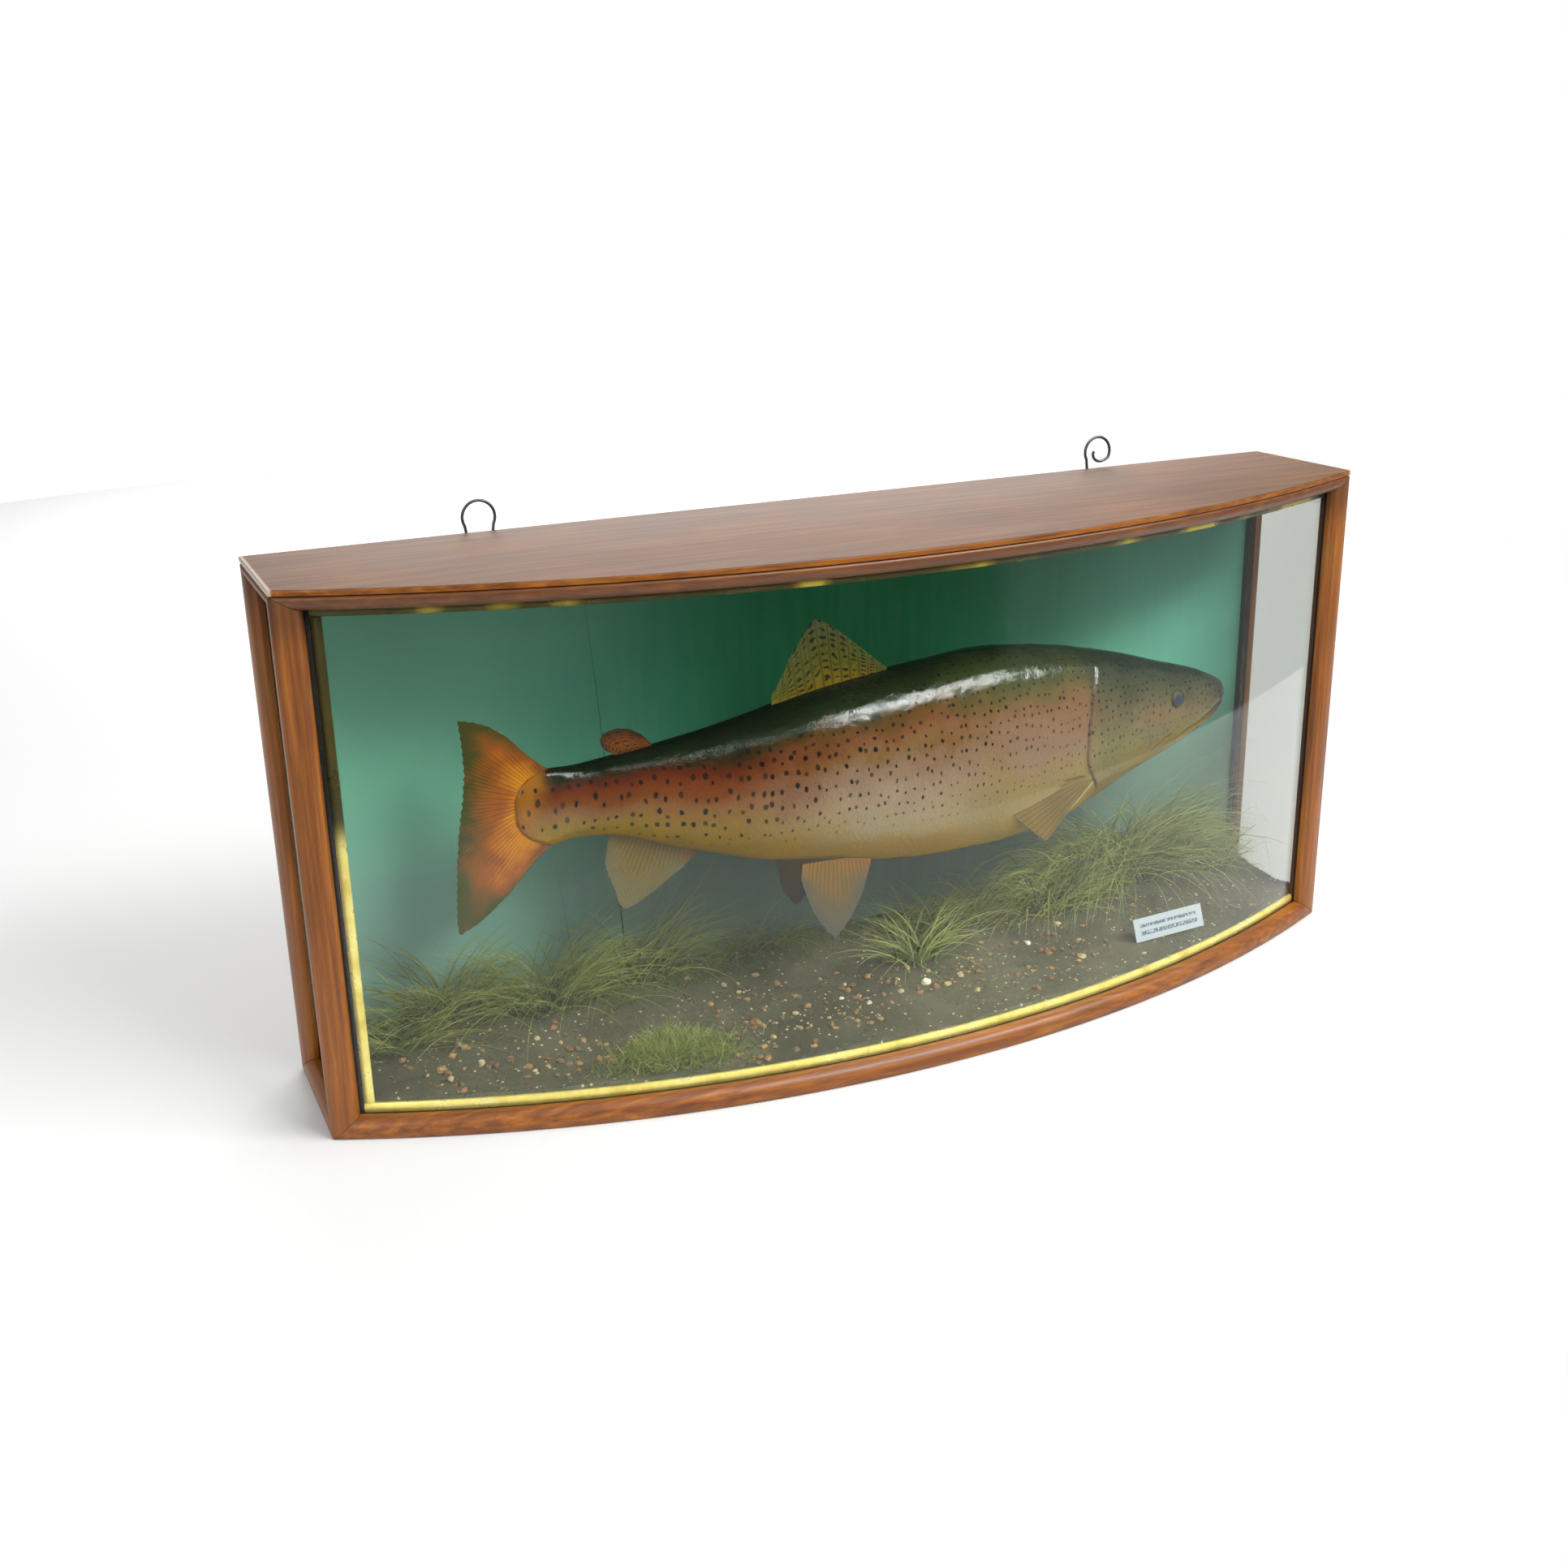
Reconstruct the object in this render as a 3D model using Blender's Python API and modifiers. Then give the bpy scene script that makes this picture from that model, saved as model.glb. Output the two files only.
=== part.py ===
"""A mounted rainbow trout in a bow-front glazed case, life size.

Metres, +Z up. X runs along the case, the bowed glass faces -Y, and the origin is under the
middle of the whole object's box, on the surface that the case stands on. The case is a light
mahogany frame of mitred mouldings with a bowed front glass and two side panes. The trout hangs in
front of a painted back board, over a moulded riverbed with a label card.
"""
import math

import bmesh
import bpy
from mathutils import Matrix, Vector

# ---- case: driving dimensions -------------------------------------------------------------------
WIDTH = 0.900
HEIGHT = 0.409
SIDE_DEPTH = 0.1223          # back face to the front corners
BOW = 0.1010                 # how far the bowed front stands out past its corners
TOP_THICK = 0.0045
BOTTOM_THICK = 0.010
BACK_THICK = 0.008
BOARD_INSET = 0.0235         # from the case's ends to the bottom board's
GAP = 0.0003                 # left between touching pieces

# ---- case: moulding section, u across its face and v inwards from the case's outer face ----------
POST_FACE = 0.019
BOTTOM_FACE = 0.015
TOP_FACE = 0.0105
MOULD_DROP = 0.008           # how far the moulding falls away to its sight edge
ARRIS = 0.0022
FLAT_SHARE = 0.30            # share of the face that stays flat before the ovolo starts
OVOLO_STEPS = 5
LIP = 0.0035                 # wood left in front of the glass
REBATE = 0.005               # how far the glass runs in behind the moulding
FRAME_DEPTH = 0.020          # how deep the front frame's mouldings are behind their face
SIDE_FRAME_DEPTH = 0.0146    # the side frames are shallower, level with their glass
ARC_STEPS = 22

# ---- case: glass, liners and gilt slips ----------------------------------------------------------
GLASS_THICK = 0.0025
SLIP_THICK = 0.003
SLIP_FACE = 0.010
SLIP_INSET = 0.014           # outer edge of the case to the outer edge of the slips
SLIP_POST_INSET = 0.022      # the same beside the left post
SLIP_JOINT_X = -0.056        # where the two lengths of the long slips butt
RIGHT_LINER_FACE = 0.0055

# ---- hanging rings on the back -------------------------------------------------------------------
WIRE_R = 0.0012
RING_R = 0.0125
RING_X = (-0.2737, 0.2770)
RING_Z = (0.4195, 0.4225)
LEG_X = 0.0095
LEG_END_Z = 0.383
PLATE_SIZE = (0.034, 0.0015, 0.016)
PLATE_Z = 0.392

DEPTH = BOW + SIDE_DEPTH + 2 * GAP + 2 * WIRE_R + PLATE_SIZE[1]
Y_FRONT = -DEPTH / 2
Y_CORNER = Y_FRONT + BOW
Y_REAR = Y_CORNER + SIDE_DEPTH
ARC_R = ((WIDTH / 2) ** 2 + BOW ** 2) / (2 * BOW)
ARC_Y = Y_FRONT + ARC_R
HALF_ANGLE = math.asin(WIDTH / 2 / ARC_R)
Z_RAIL_TOP = HEIGHT - TOP_THICK - GAP
GLASS_V = MOULD_DROP + LIP + GAP
SLIP_V = GLASS_V + GLASS_THICK + GAP
BED_V = SLIP_V + SLIP_THICK + GAP

# ---- trout ---------------------------------------------------------------------------------------
FISH_Y = Y_CORNER + 0.020    # middle plane of the fish
SNOUT_X = 0.3435
RING_POINTS = 32
SECTION_POWER = 0.92         # below 1 the sections are a little fuller than an ellipse
WIDEST = 0.52                # height of the widest level, as a share of the depth

# distance behind the snout, height of the back, height of the belly, half width; millimetres
BODY_LINES = (
    (0.0, 224.0, 223.0, 0.5), (1.5, 230.5, 216.0, 5.0), (6.0, 236.5, 208.5, 9.5),
    (14.0, 241.0, 202.5, 14.0), (30.0, 248.3, 195.0, 19.0), (50.0, 254.8, 185.8, 22.5),
    (75.0, 262.2, 176.3, 27.0), (105.0, 271.6, 165.5, 32.0), (140.0, 280.5, 149.7, 36.5),
    (165.0, 286.0, 138.8, 39.5), (200.0, 291.2, 131.5, 42.5), (245.0, 294.8, 126.6, 45.0),
    (290.0, 291.3, 126.6, 45.0), (340.0, 286.8, 131.0, 43.5), (395.0, 279.5, 141.2, 39.0),
    (440.0, 269.8, 149.3, 33.0), (480.0, 262.4, 161.8, 27.0), (520.0, 257.0, 175.8, 21.5),
    (560.0, 252.7, 190.5, 16.0), (590.0, 250.3, 193.8, 12.0), (608.0, 250.8, 190.8, 9.0),
    (620.0, 247.0, 195.0, 6.5), (629.0, 240.0, 202.0, 4.5), (634.0, 231.0, 210.5, 2.5),
)
GILL_CUT = 143.0             # mm behind the snout, at the back and the throat
GILL_BULGE = 18.5            # how much further back the gill cover reaches on the flank
GILL_LOW = math.radians(-8)  # the turn at which it reaches furthest back
GILL_POWERS = (2.0, 10.0)    # how quickly it draws in above that, and below
MID_CUT = 345.0
WRIST_CUT = 545.0
FLESH_END = 634.0
HEAD_SPACING = (0.3, 1.4, 3.2, 6.0, 10.0, 15.0, 22.0, 31.0, 42.0, 54.0, 68.0, 83.0, 100.0, 118.0, 136.0)
TRUNK_STEPS = 7
WRIST_SPACING = (0.0, 0.14, 0.28, 0.42, 0.55, 0.66, 0.76, 0.86, 0.94, 0.98, 1.0)
CUT_HALF = 0.2               # half the thin cut between two lengths of the body, mm
FIN_CLEARANCE = 0.4          # mm between the flesh and what is set on it

EYE_X = 0.2786
EYE_Z = 0.2320
EYE_R = 0.0076
EYE_BULGE_R = 0.0044
EYE_SINK = 0.0022            # how far the eye's middle lies under the skin
EYE_STEPS = 12
SOCKET_GAP = 0.0004

FIN_THICK = 0.0012
TAIL_THICK = 0.0016

# fin outlines in the fish's middle plane, X and height in millimetres, round from the front of the root
DORSAL = ((10, 276), (16, 291), (6, 298), (-8, 310), (-22, 322), (-36, 333), (-48, 338.5), (-54, 331),
          (-60, 321), (-68, 311), (-73, 299), (-78, 290), (-84, 281), (-86, 270), (-78, 262))
ADIPOSE = ((-184, 248), (-182, 257), (-190, 266), (-200, 272), (-211, 273.5), (-220, 271.5), (-224, 265),
           (-221, 258), (-214, 254), (-208, 247))
ANAL = ((-150, 174), (-149, 163), (-163, 152), (-177, 143), (-190, 135), (-204, 128), (-211, 126.5),
        (-215, 132), (-218, 144), (-222, 156), (-225, 168), (-222, 185), (-214, 196))
PELVIC = ((-10, 148), (-11, 137), (-16, 125), (-21, 114), (-28, 104), (-36, 94), (-50, 82), (-56, 89),
          (-62, 98), (-67, 108), (-70, 120), (-73, 134), (-60, 146), (-34, 150))
PECTORAL = ((192, 186), (188, 176), (172, 160), (156, 144), (147, 129), (135, 138), (122, 150),
            (111, 160), (106, 173), (110, 184), (135, 187), (165, 186))
TAIL = ((-266, 252), (-274, 259), (-284, 270), (-293, 280), (-306, 290), (-318, 295), (-328, 297),
        (-327.5, 288), (-326.5, 275), (-326.5, 258), (-328.5, 240), (-332, 222), (-335, 204),
        (-338, 180), (-340, 158), (-341, 142), (-340, 131), (-325, 138), (-312, 147), (-300, 157),
        (-290, 167), (-280, 178), (-268, 188), (-258, 196), (-262, 220), (-256, 244))
PELVIC_PIVOT = (-0.022, 0.140)   # offset from the middle plane, height
PELVIC_SPLAY = math.radians(14)
PECTORAL_PIVOT = (-0.0375, 0.180)
PECTORAL_SPLAY = math.radians(-6)

# outlines that part the lower jaw and the gill covers from the head, X and height in millimetres
JAW_CUT = ((350, 219.5), (332, 213.5), (312, 206.5), (293, 201.8), (284, 199), (283, 170), (350, 170))
GILL_PLATE = ((165, 266), (205, 264), (226, 258), (236, 244), (241, 226), (246, 208), (252, 194),
              (240, 184), (215, 172), (190, 164), (165, 160))
GILL_PLATE_DEPTH = 0.022     # the covers start this far from the middle plane

# ---- what holds the fish ---------------------------------------------------------------------------
ROD_R = 0.004
ROD_X = (-0.100, 0.110)
ROD_Z = 0.212

# ---- riverbed and label ------------------------------------------------------------------------------
BED_HALF = 0.4340
BED_CLEAR_X = 0.410          # beyond this the bed's front edge draws back round the post
BED_CLEAR = 0.0035
BED_COLUMNS = 30
BED_ROWS = 7
BED_LEVEL = 0.0235
LABEL_SIZE = (0.074, 0.0010, 0.020)
LABEL_AT = (0.2735, Y_CORNER - 0.0195, 0.0226)
LABEL_LEAN = math.radians(20)
LABEL_YAW = math.radians(3.4)
LABEL_PAD = 0.055            # the bed is level within this distance of the label's middle
WEDGE_DEPTH = 0.014

# tufts of dried grass glued into the bed: place of each, half sizes of the root clump, length of
# its blades, how far they droop in degrees, and the share of the clump's faces that carry one
TUFTS = {
    "grass_tail_outer": ((-0.338, 0.087), (0.018, 0.008, 0.008), 0.094, 104, 0.30),
    "grass_tail_inner": ((-0.258, 0.066), (0.022, 0.008, 0.008), 0.104, 98, 0.34),
    "grass_belly": ((-0.176, 0.087), (0.018, 0.008, 0.007), 0.086, 104, 0.30),
    "grass_front": ((0.050, 0.018), (0.014, 0.009, 0.007), 0.070, 92, 0.34),
    "grass_throat": ((0.212, 0.062), (0.020, 0.008, 0.008), 0.088, 112, 0.30),
    "grass_head": ((0.302, 0.084), (0.032, 0.010, 0.012), 0.135, 108, 0.55),
}
BLADE_SHARES = (0.34, 0.36, 0.30)    # of a blade's length in each of its three lengths
BLADE_WIDTHS = (0.50, 0.36, 0.10)    # how wide it is at the end of each, to its root's width
BLADE_RISE = 80                      # how steeply the middle blades leave the clump, in degrees
BLADE_SPREAD = 34                    # how much flatter the outermost ones leave it
TUFT_FLAT = 0.09                     # the fan is flattened from front to back
TUFT_LEAN = -0.05                    # and leans this much away from the back board


# ---- scene helpers -----------------------------------------------------------------------------------
def clear_objects():
    for obj in list(bpy.data.objects):
        bpy.data.objects.remove(obj, do_unlink=True)


def new_collection(name):
    group = bpy.data.collections.new(name)
    bpy.context.scene.collection.children.link(group)
    return group


def material(name, colour, roughness, metallic=0.0):
    made = bpy.data.materials.new(name)
    made.use_nodes = True
    shader = made.node_tree.nodes["Principled BSDF"]
    shader.inputs["Base Color"].default_value = (*colour, 1.0)
    shader.inputs["Roughness"].default_value = roughness
    shader.inputs["Metallic"].default_value = metallic
    return made


def add_object(name, mesh, finish):
    obj = bpy.data.objects.new(name, mesh)
    PARTS.objects.link(obj)
    if finish is not None:
        mesh.materials.clear()
        mesh.materials.append(finish)
    return obj


def mesh_from(bm, name):
    bmesh.ops.recalc_face_normals(bm, faces=bm.faces)
    mesh = bpy.data.meshes.new(name)
    bm.to_mesh(mesh)
    bm.free()
    return mesh


def curve_to_mesh_object(curve_obj):
    """Turn a curve object into a welded mesh object of the same name and place."""
    bpy.context.view_layer.update()
    evaluated = curve_obj.evaluated_get(bpy.context.evaluated_depsgraph_get())
    mesh = bpy.data.meshes.new_from_object(evaluated)
    bm = bmesh.new()
    bm.from_mesh(mesh)
    bmesh.ops.remove_doubles(bm, verts=bm.verts, dist=0.00002)
    bmesh.ops.recalc_face_normals(bm, faces=bm.faces)
    bm.to_mesh(mesh)
    bm.free()
    name = curve_obj.name
    place = curve_obj.matrix_world.copy()
    bpy.data.objects.remove(curve_obj, do_unlink=True)
    obj = add_object(name, mesh, None)
    obj.matrix_world = place
    return obj


def plate(name, outline, thickness, finish, place=Matrix.Identity(4)):
    """A flat outline of (x, y) points, thickened evenly about its own plane."""
    curve = bpy.data.curves.new(name, "CURVE")
    curve.dimensions = "2D"
    curve.fill_mode = "BOTH"
    curve.extrude = thickness / 2
    spline = curve.splines.new("POLY")
    spline.points.add(len(outline) - 1)
    for point, (x, y) in zip(spline.points, outline):
        point.co = (x, y, 0.0, 1.0)
    spline.use_cyclic_u = True
    curve.materials.append(finish)
    obj = bpy.data.objects.new(name, curve)
    PARTS.objects.link(obj)
    obj.matrix_world = place
    return curve_to_mesh_object(obj)


def flat_on_floor(name, outline, z_low, z_high, finish):
    place = Matrix.Translation((0.0, 0.0, (z_low + z_high) / 2))
    return plate(name, outline, z_high - z_low, finish, place)


def wire(name, points, radius, finish):
    curve = bpy.data.curves.new(name, "CURVE")
    curve.dimensions = "3D"
    curve.bevel_depth = radius
    curve.bevel_resolution = 2
    curve.use_fill_caps = True
    spline = curve.splines.new("POLY")
    spline.points.add(len(points) - 1)
    for point, co in zip(spline.points, points):
        point.co = (*co, 1.0)
    curve.materials.append(finish)
    obj = bpy.data.objects.new(name, curve)
    PARTS.objects.link(obj)
    return curve_to_mesh_object(obj)


def boolean(obj, cutter, operation):
    cut = obj.modifiers.new(f"{operation.lower()}_{cutter.name}", "BOOLEAN")
    cut.operation = operation
    cut.object = cutter


def as_cutter(obj):
    PARTS.objects.unlink(obj)
    CUTTERS.objects.link(obj)
    obj.hide_render = True
    obj.display_type = "WIRE"
    return obj


# ---- case ------------------------------------------------------------------------------------------
def arc_point(angle, depth):
    radius = ARC_R - depth
    return radius * math.sin(angle), ARC_Y - radius * math.cos(angle)


def arc_angle_at(x, depth):
    return math.asin(x / (ARC_R - depth))


def arc_strip(depth_out, depth_in, angle_from, angle_to, steps=ARC_STEPS):
    """Outline in plan of a strip that follows the bowed front between two depths."""
    angles = [angle_from + (angle_to - angle_from) * i / steps for i in range(steps + 1)]
    outer = [arc_point(angle, depth_out) for angle in angles]
    inner = [arc_point(angle, depth_in) for angle in reversed(angles)]
    return outer + inner


def d_outline(depth, side_inset, rear_y):
    """Outline in plan of a board with the case's bowed front."""
    half = WIDTH / 2 - side_inset
    end = arc_angle_at(half, depth)
    angles = [-end + 2 * end * i / ARC_STEPS for i in range(ARC_STEPS + 1)]
    return [arc_point(angle, depth) for angle in angles] + [(half, rear_y), (-half, rear_y)]


def moulding_face(face):
    """The moulded edge from the outer arris to the sight edge, as (u, v) points."""
    flat_end = face * FLAT_SHARE
    points = [(0.0, ARRIS), (ARRIS * 0.3, ARRIS * 0.3), (ARRIS, 0.0)]
    for i in range(OVOLO_STEPS + 1):
        turn = math.pi / 2 * i / OVOLO_STEPS
        points.append((flat_end + (face - flat_end) * math.sin(turn), MOULD_DROP * (1 - math.cos(turn))))
    return points


def rebate(face, frame_depth):
    lip_back = MOULD_DROP + LIP
    return [(face, lip_back), (face - REBATE, lip_back), (face - REBATE, frame_depth)]


def rail_section(face, frame_depth):
    return moulding_face(face) + rebate(face, frame_depth) + [(0.0, frame_depth)]


def fill_cut(bm, plane_point, plane_normal):
    """Cut away what lies on the normal's side of a plane and close the cut."""
    geometry = bm.verts[:] + bm.edges[:] + bm.faces[:]
    cut = bmesh.ops.bisect_plane(bm, geom=geometry, dist=1e-6, plane_co=plane_point,
                                 plane_no=plane_normal, clear_outer=True)
    edges = [e for e in cut["geom_cut"] if isinstance(e, bmesh.types.BMEdge)]
    if edges:
        bmesh.ops.contextual_create(bm, geom=edges)


def corner(side):
    """Plan point, direction along the front face and direction inwards at a front corner."""
    point = Vector((side * WIDTH / 2, Y_CORNER, 0.0))
    along = Vector((-side * math.cos(HALF_ANGLE), -math.sin(HALF_ANGLE), 0.0))
    inward = Vector((-side * math.sin(HALF_ANGLE), math.cos(HALF_ANGLE), 0.0))
    return point, along, inward


def mitre_normal(along, inward, face, rises):
    """Normal of the mitre between a post and a rail, pointing from the rail to the post."""
    across = along * POST_FACE + Vector((0.0, 0.0, rises * face))
    normal = inward.cross(across).normalized()
    if normal.z * rises < 0:
        normal = -normal
    return normal


def bisector_normal(side):
    """Normal of the upright plane that halves a front corner, pointing to the side frame."""
    _, along, _ = corner(side)
    middle = (along + Vector((0.0, 1.0, 0.0))).normalized()
    normal = Vector((middle.y, -middle.x, 0.0))
    if normal.dot(along) > 0:
        normal = -normal
    return normal


def mitre_rail_ends(bm, z_outer, face, rises, ends):
    """Cut a rail's ends: each end is (corner point, along, inward, upright cut normal or None)."""
    for point, along, inward, upright in ends:
        level = point + Vector((0.0, 0.0, z_outer))
        normal = mitre_normal(along, inward, face, rises)
        fill_cut(bm, level - normal * GAP / 2, normal)
        if upright is not None:
            fill_cut(bm, point - upright * GAP / 2, upright)


def front_rail(name, face, z_outer, rises, finish):
    bm = bmesh.new()
    start = HALF_ANGLE + 0.01
    verts = []
    for u, v in rail_section(face, FRAME_DEPTH):
        x, y = arc_point(-start, v)
        verts.append(bm.verts.new((x, y, z_outer + rises * u)))
    section = bm.faces.new(verts)
    bmesh.ops.spin(bm, geom=[section, *section.edges, *section.verts], cent=(0.0, ARC_Y, 0.0),
                   axis=(0.0, 0.0, 1.0), angle=2 * start, steps=ARC_STEPS, use_duplicate=False)
    bmesh.ops.remove_doubles(bm, verts=bm.verts, dist=1e-6)
    ends = []
    for side in (-1, 1):
        point, along, inward = corner(side)
        ends.append((point, along, inward, bisector_normal(side)))
    mitre_rail_ends(bm, z_outer, face, rises, ends)
    return add_object(name, mesh_from(bm, name), finish)


def extrude_section(bm, points, travel):
    section = bm.faces.new([bm.verts.new(p) for p in points])
    grown = bmesh.ops.extrude_face_region(bm, geom=[section])
    moved = [v for v in grown["geom"] if isinstance(v, bmesh.types.BMVert)]
    bmesh.ops.translate(bm, verts=moved, vec=travel)


def side_rail(name, side, face, z_outer, rises, finish):
    bm = bmesh.new()
    y_start = Y_CORNER - 0.030
    section = rail_section(face, SIDE_FRAME_DEPTH)
    points = [(side * (WIDTH / 2 - v), y_start, z_outer + rises * u) for u, v in section]
    extrude_section(bm, points, Vector((0.0, Y_REAR - y_start, 0.0)))
    inward = Vector((-side, 0.0, 0.0))
    backward = Vector((0.0, 1.0, 0.0))
    front_point = Vector((side * WIDTH / 2, Y_CORNER, 0.0))
    rear_point = Vector((side * WIDTH / 2, Y_REAR, 0.0))
    ends = [(front_point, backward, inward, -bisector_normal(side)), (rear_point, -backward, inward, None)]
    mitre_rail_ends(bm, z_outer, face, rises, ends)
    return add_object(name, mesh_from(bm, name), finish)


def post(name, plan_points, frames, finish):
    """An upright of the given plan, mitred to the rails of each frame it belongs to."""
    bm = bmesh.new()
    extrude_section(bm, [Vector((x, y, 0.0)) for x, y in plan_points], Vector((0.0, 0.0, Z_RAIL_TOP)))
    for point, along, inward in frames:
        for z_outer, face, rises in ((0.0, BOTTOM_FACE, 1), (Z_RAIL_TOP, TOP_FACE, -1)):
            normal = mitre_normal(along, inward, face, rises)
            level = point + Vector((0.0, 0.0, z_outer))
            fill_cut(bm, level + normal * GAP / 2, -normal)
    return add_object(name, mesh_from(bm, name), finish)


def plan(point, along, inward, section):
    return [((point + along * u + inward * v).x, (point + along * u + inward * v).y) for u, v in section]


def front_post(name, side, finish):
    point, along, inward = corner(side)
    face = moulding_face(POST_FACE)[1:]
    backward = Vector((0.0, 1.0, 0.0))
    sideways = Vector((-side, 0.0, 0.0))
    outline = plan(point, along, inward, face + rebate(POST_FACE, FRAME_DEPTH))
    outline += plan(point, backward, sideways, face + rebate(POST_FACE, SIDE_FRAME_DEPTH))[::-1]
    return post(name, outline, [(point, along, inward), (point, backward, sideways)], finish)


def rear_post(name, side, finish):
    point = Vector((side * WIDTH / 2, Y_REAR, 0.0))
    forward = Vector((0.0, -1.0, 0.0))
    sideways = Vector((-side, 0.0, 0.0))
    outline = plan(point, forward, sideways, rail_section(POST_FACE, SIDE_FRAME_DEPTH))
    return post(name, outline, [(point, forward, sideways)], finish)


def build_case(wood, paint, glass, gilt, black, card_wood):
    outline = d_outline(0.0, 0.0, Y_REAR)
    top = flat_on_floor("top_board", outline, HEIGHT - TOP_THICK, HEIGHT, wood)
    edge = top.modifiers.new("edge", "BEVEL")
    edge.width = 0.0012
    edge.segments = 1
    edge.limit_method = "ANGLE"
    edge.angle_limit = math.radians(50)
    back_front = Y_REAR - BACK_THICK
    half = WIDTH / 2 - SIDE_FRAME_DEPTH - GAP
    floor = d_outline(FRAME_DEPTH + GAP, BOARD_INSET, back_front - GAP)
    flat_on_floor("bottom_board", floor, 0.0, BOTTOM_THICK, card_wood)
    back = [(-half, back_front), (half, back_front), (half, Y_REAR), (-half, Y_REAR)]
    flat_on_floor("back_board", back, 0.0, Z_RAIL_TOP, paint)
    front_rail("front_rail_bottom", BOTTOM_FACE, 0.0, 1, wood)
    front_rail("front_rail_top", TOP_FACE, Z_RAIL_TOP, -1, wood)
    for side, word in ((-1, "left"), (1, "right")):
        side_rail(f"side_rail_{word}_bottom", side, BOTTOM_FACE, 0.0, 1, wood)
        side_rail(f"side_rail_{word}_top", side, TOP_FACE, Z_RAIL_TOP, -1, wood)
        front_post(f"front_post_{word}", side, wood)
        rear_post(f"rear_post_{word}", side, wood)
    build_glazing(glass)
    build_slips(gilt, black)


def post_angle(distance):
    """Angle on the bow at a distance in from the corner."""
    return HALF_ANGLE - distance / ARC_R


def build_glazing(glass):
    low = BOTTOM_FACE - REBATE + GAP
    high = Z_RAIL_TOP - TOP_FACE + REBATE - GAP
    end = post_angle(POST_FACE - REBATE + 2 * GAP)
    strip = arc_strip(GLASS_V, GLASS_V + GLASS_THICK, -end, end)
    flat_on_floor("front_glass", strip, low, high, glass)
    y_from = Y_CORNER + POST_FACE - REBATE + GAP
    y_to = Y_REAR - POST_FACE + REBATE - GAP
    for side, word in ((-1, "left"), (1, "right")):
        x_out = side * (WIDTH / 2 - GLASS_V)
        x_in = side * (WIDTH / 2 - GLASS_V - GLASS_THICK)
        pane = [(x_out, y_from), (x_in, y_from), (x_in, y_to), (x_out, y_to)]
        flat_on_floor(f"side_glass_{word}", pane, low, high, glass)


def build_slips(gilt, black):
    """Black liners in the rebate and the gilt slips that stand inside them, behind the glass."""
    v_in = SLIP_V + SLIP_THICK
    left_post = -post_angle(POST_FACE - REBATE + 2 * GAP)
    slip_left = -post_angle(SLIP_POST_INSET)
    right_post = post_angle(POST_FACE - REBATE + 2 * GAP)
    liner_right = post_angle(POST_FACE - REBATE + RIGHT_LINER_FACE)
    joint = arc_angle_at(SLIP_JOINT_X, SLIP_V)
    shift = GAP / 2 / ARC_R
    top_outer = HEIGHT - SLIP_INSET
    bottom_inner = SLIP_INSET + SLIP_FACE
    top_inner = top_outer - SLIP_FACE
    low = BOTTOM_FACE - REBATE + GAP
    high = Z_RAIL_TOP - TOP_FACE + REBATE - GAP
    long_strip = arc_strip(SLIP_V, v_in, left_post, right_post)
    flat_on_floor("liner_bottom", long_strip, low, SLIP_INSET - GAP, black)
    flat_on_floor("liner_top", long_strip, top_outer + GAP, high, black)
    left_strip = arc_strip(SLIP_V, v_in, left_post, slip_left - 2 * shift, 2)
    right_strip = arc_strip(SLIP_V, v_in, liner_right, right_post, 2)
    flat_on_floor("liner_left", left_strip, SLIP_INSET, top_outer, black)
    flat_on_floor("liner_right", right_strip, SLIP_INSET, top_outer, black)
    inner = liner_right - 2 * shift
    for word, angle_from, angle_to in (("left", slip_left, joint - shift), ("right", joint + shift, inner)):
        strip = arc_strip(SLIP_V, v_in, angle_from, angle_to, ARC_STEPS // 2)
        flat_on_floor(f"slip_bottom_{word}", strip, SLIP_INSET, bottom_inner, gilt)
        flat_on_floor(f"slip_top_{word}", strip, top_inner, top_outer, gilt)
    upright = arc_strip(SLIP_V, v_in, slip_left, slip_left + SLIP_FACE / ARC_R, 2)
    flat_on_floor("slip_left", upright, bottom_inner + GAP, top_inner - GAP, gilt)


def ring_path(centre_x, centre_z, coiled):
    """A wire loop in the plane of the back: two legs, or one leg and an end coiled inwards."""
    y = Y_REAR + GAP + WIRE_R
    points = [(centre_x - LEG_X, y, LEG_END_Z), (centre_x - LEG_X, y, HEIGHT - 0.006)]
    low_angle = math.radians(208)
    end_angle = math.radians(-28)
    steps = 14
    for i in range(steps + 1):
        angle = low_angle + (end_angle - low_angle) * i / steps
        points.append((centre_x + RING_R * math.cos(angle), y, centre_z + RING_R * math.sin(angle)))
    if not coiled:
        points += [(centre_x + LEG_X, y, HEIGHT - 0.006), (centre_x + LEG_X, y, LEG_END_Z)]
        return points
    for turn, share in ((-48, 0.93), (-70, 0.80), (-92, 0.62), (-118, 0.44), (-150, 0.33), (-185, 0.28)):
        angle = math.radians(turn)
        reach = RING_R * share
        points.append((centre_x + reach * math.cos(angle), y, centre_z + reach * math.sin(angle)))
    return points


def build_rings(steel):
    for word, x, z, coiled in (("left", RING_X[0], RING_Z[0], False), ("right", RING_X[1], RING_Z[1], True)):
        wire(f"hanging_ring_{word}", ring_path(x, z, coiled), WIRE_R, steel)
        wide, thick, tall = PLATE_SIZE
        y = Y_REAR + 2 * GAP + 2 * WIRE_R
        cover = [(x - wide / 2, y), (x + wide / 2, y), (x + wide / 2, y + thick), (x - wide / 2, y + thick)]
        flat_on_floor(f"ring_plate_{word}", cover, PLATE_Z - tall / 2, PLATE_Z + tall / 2, steel)


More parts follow.
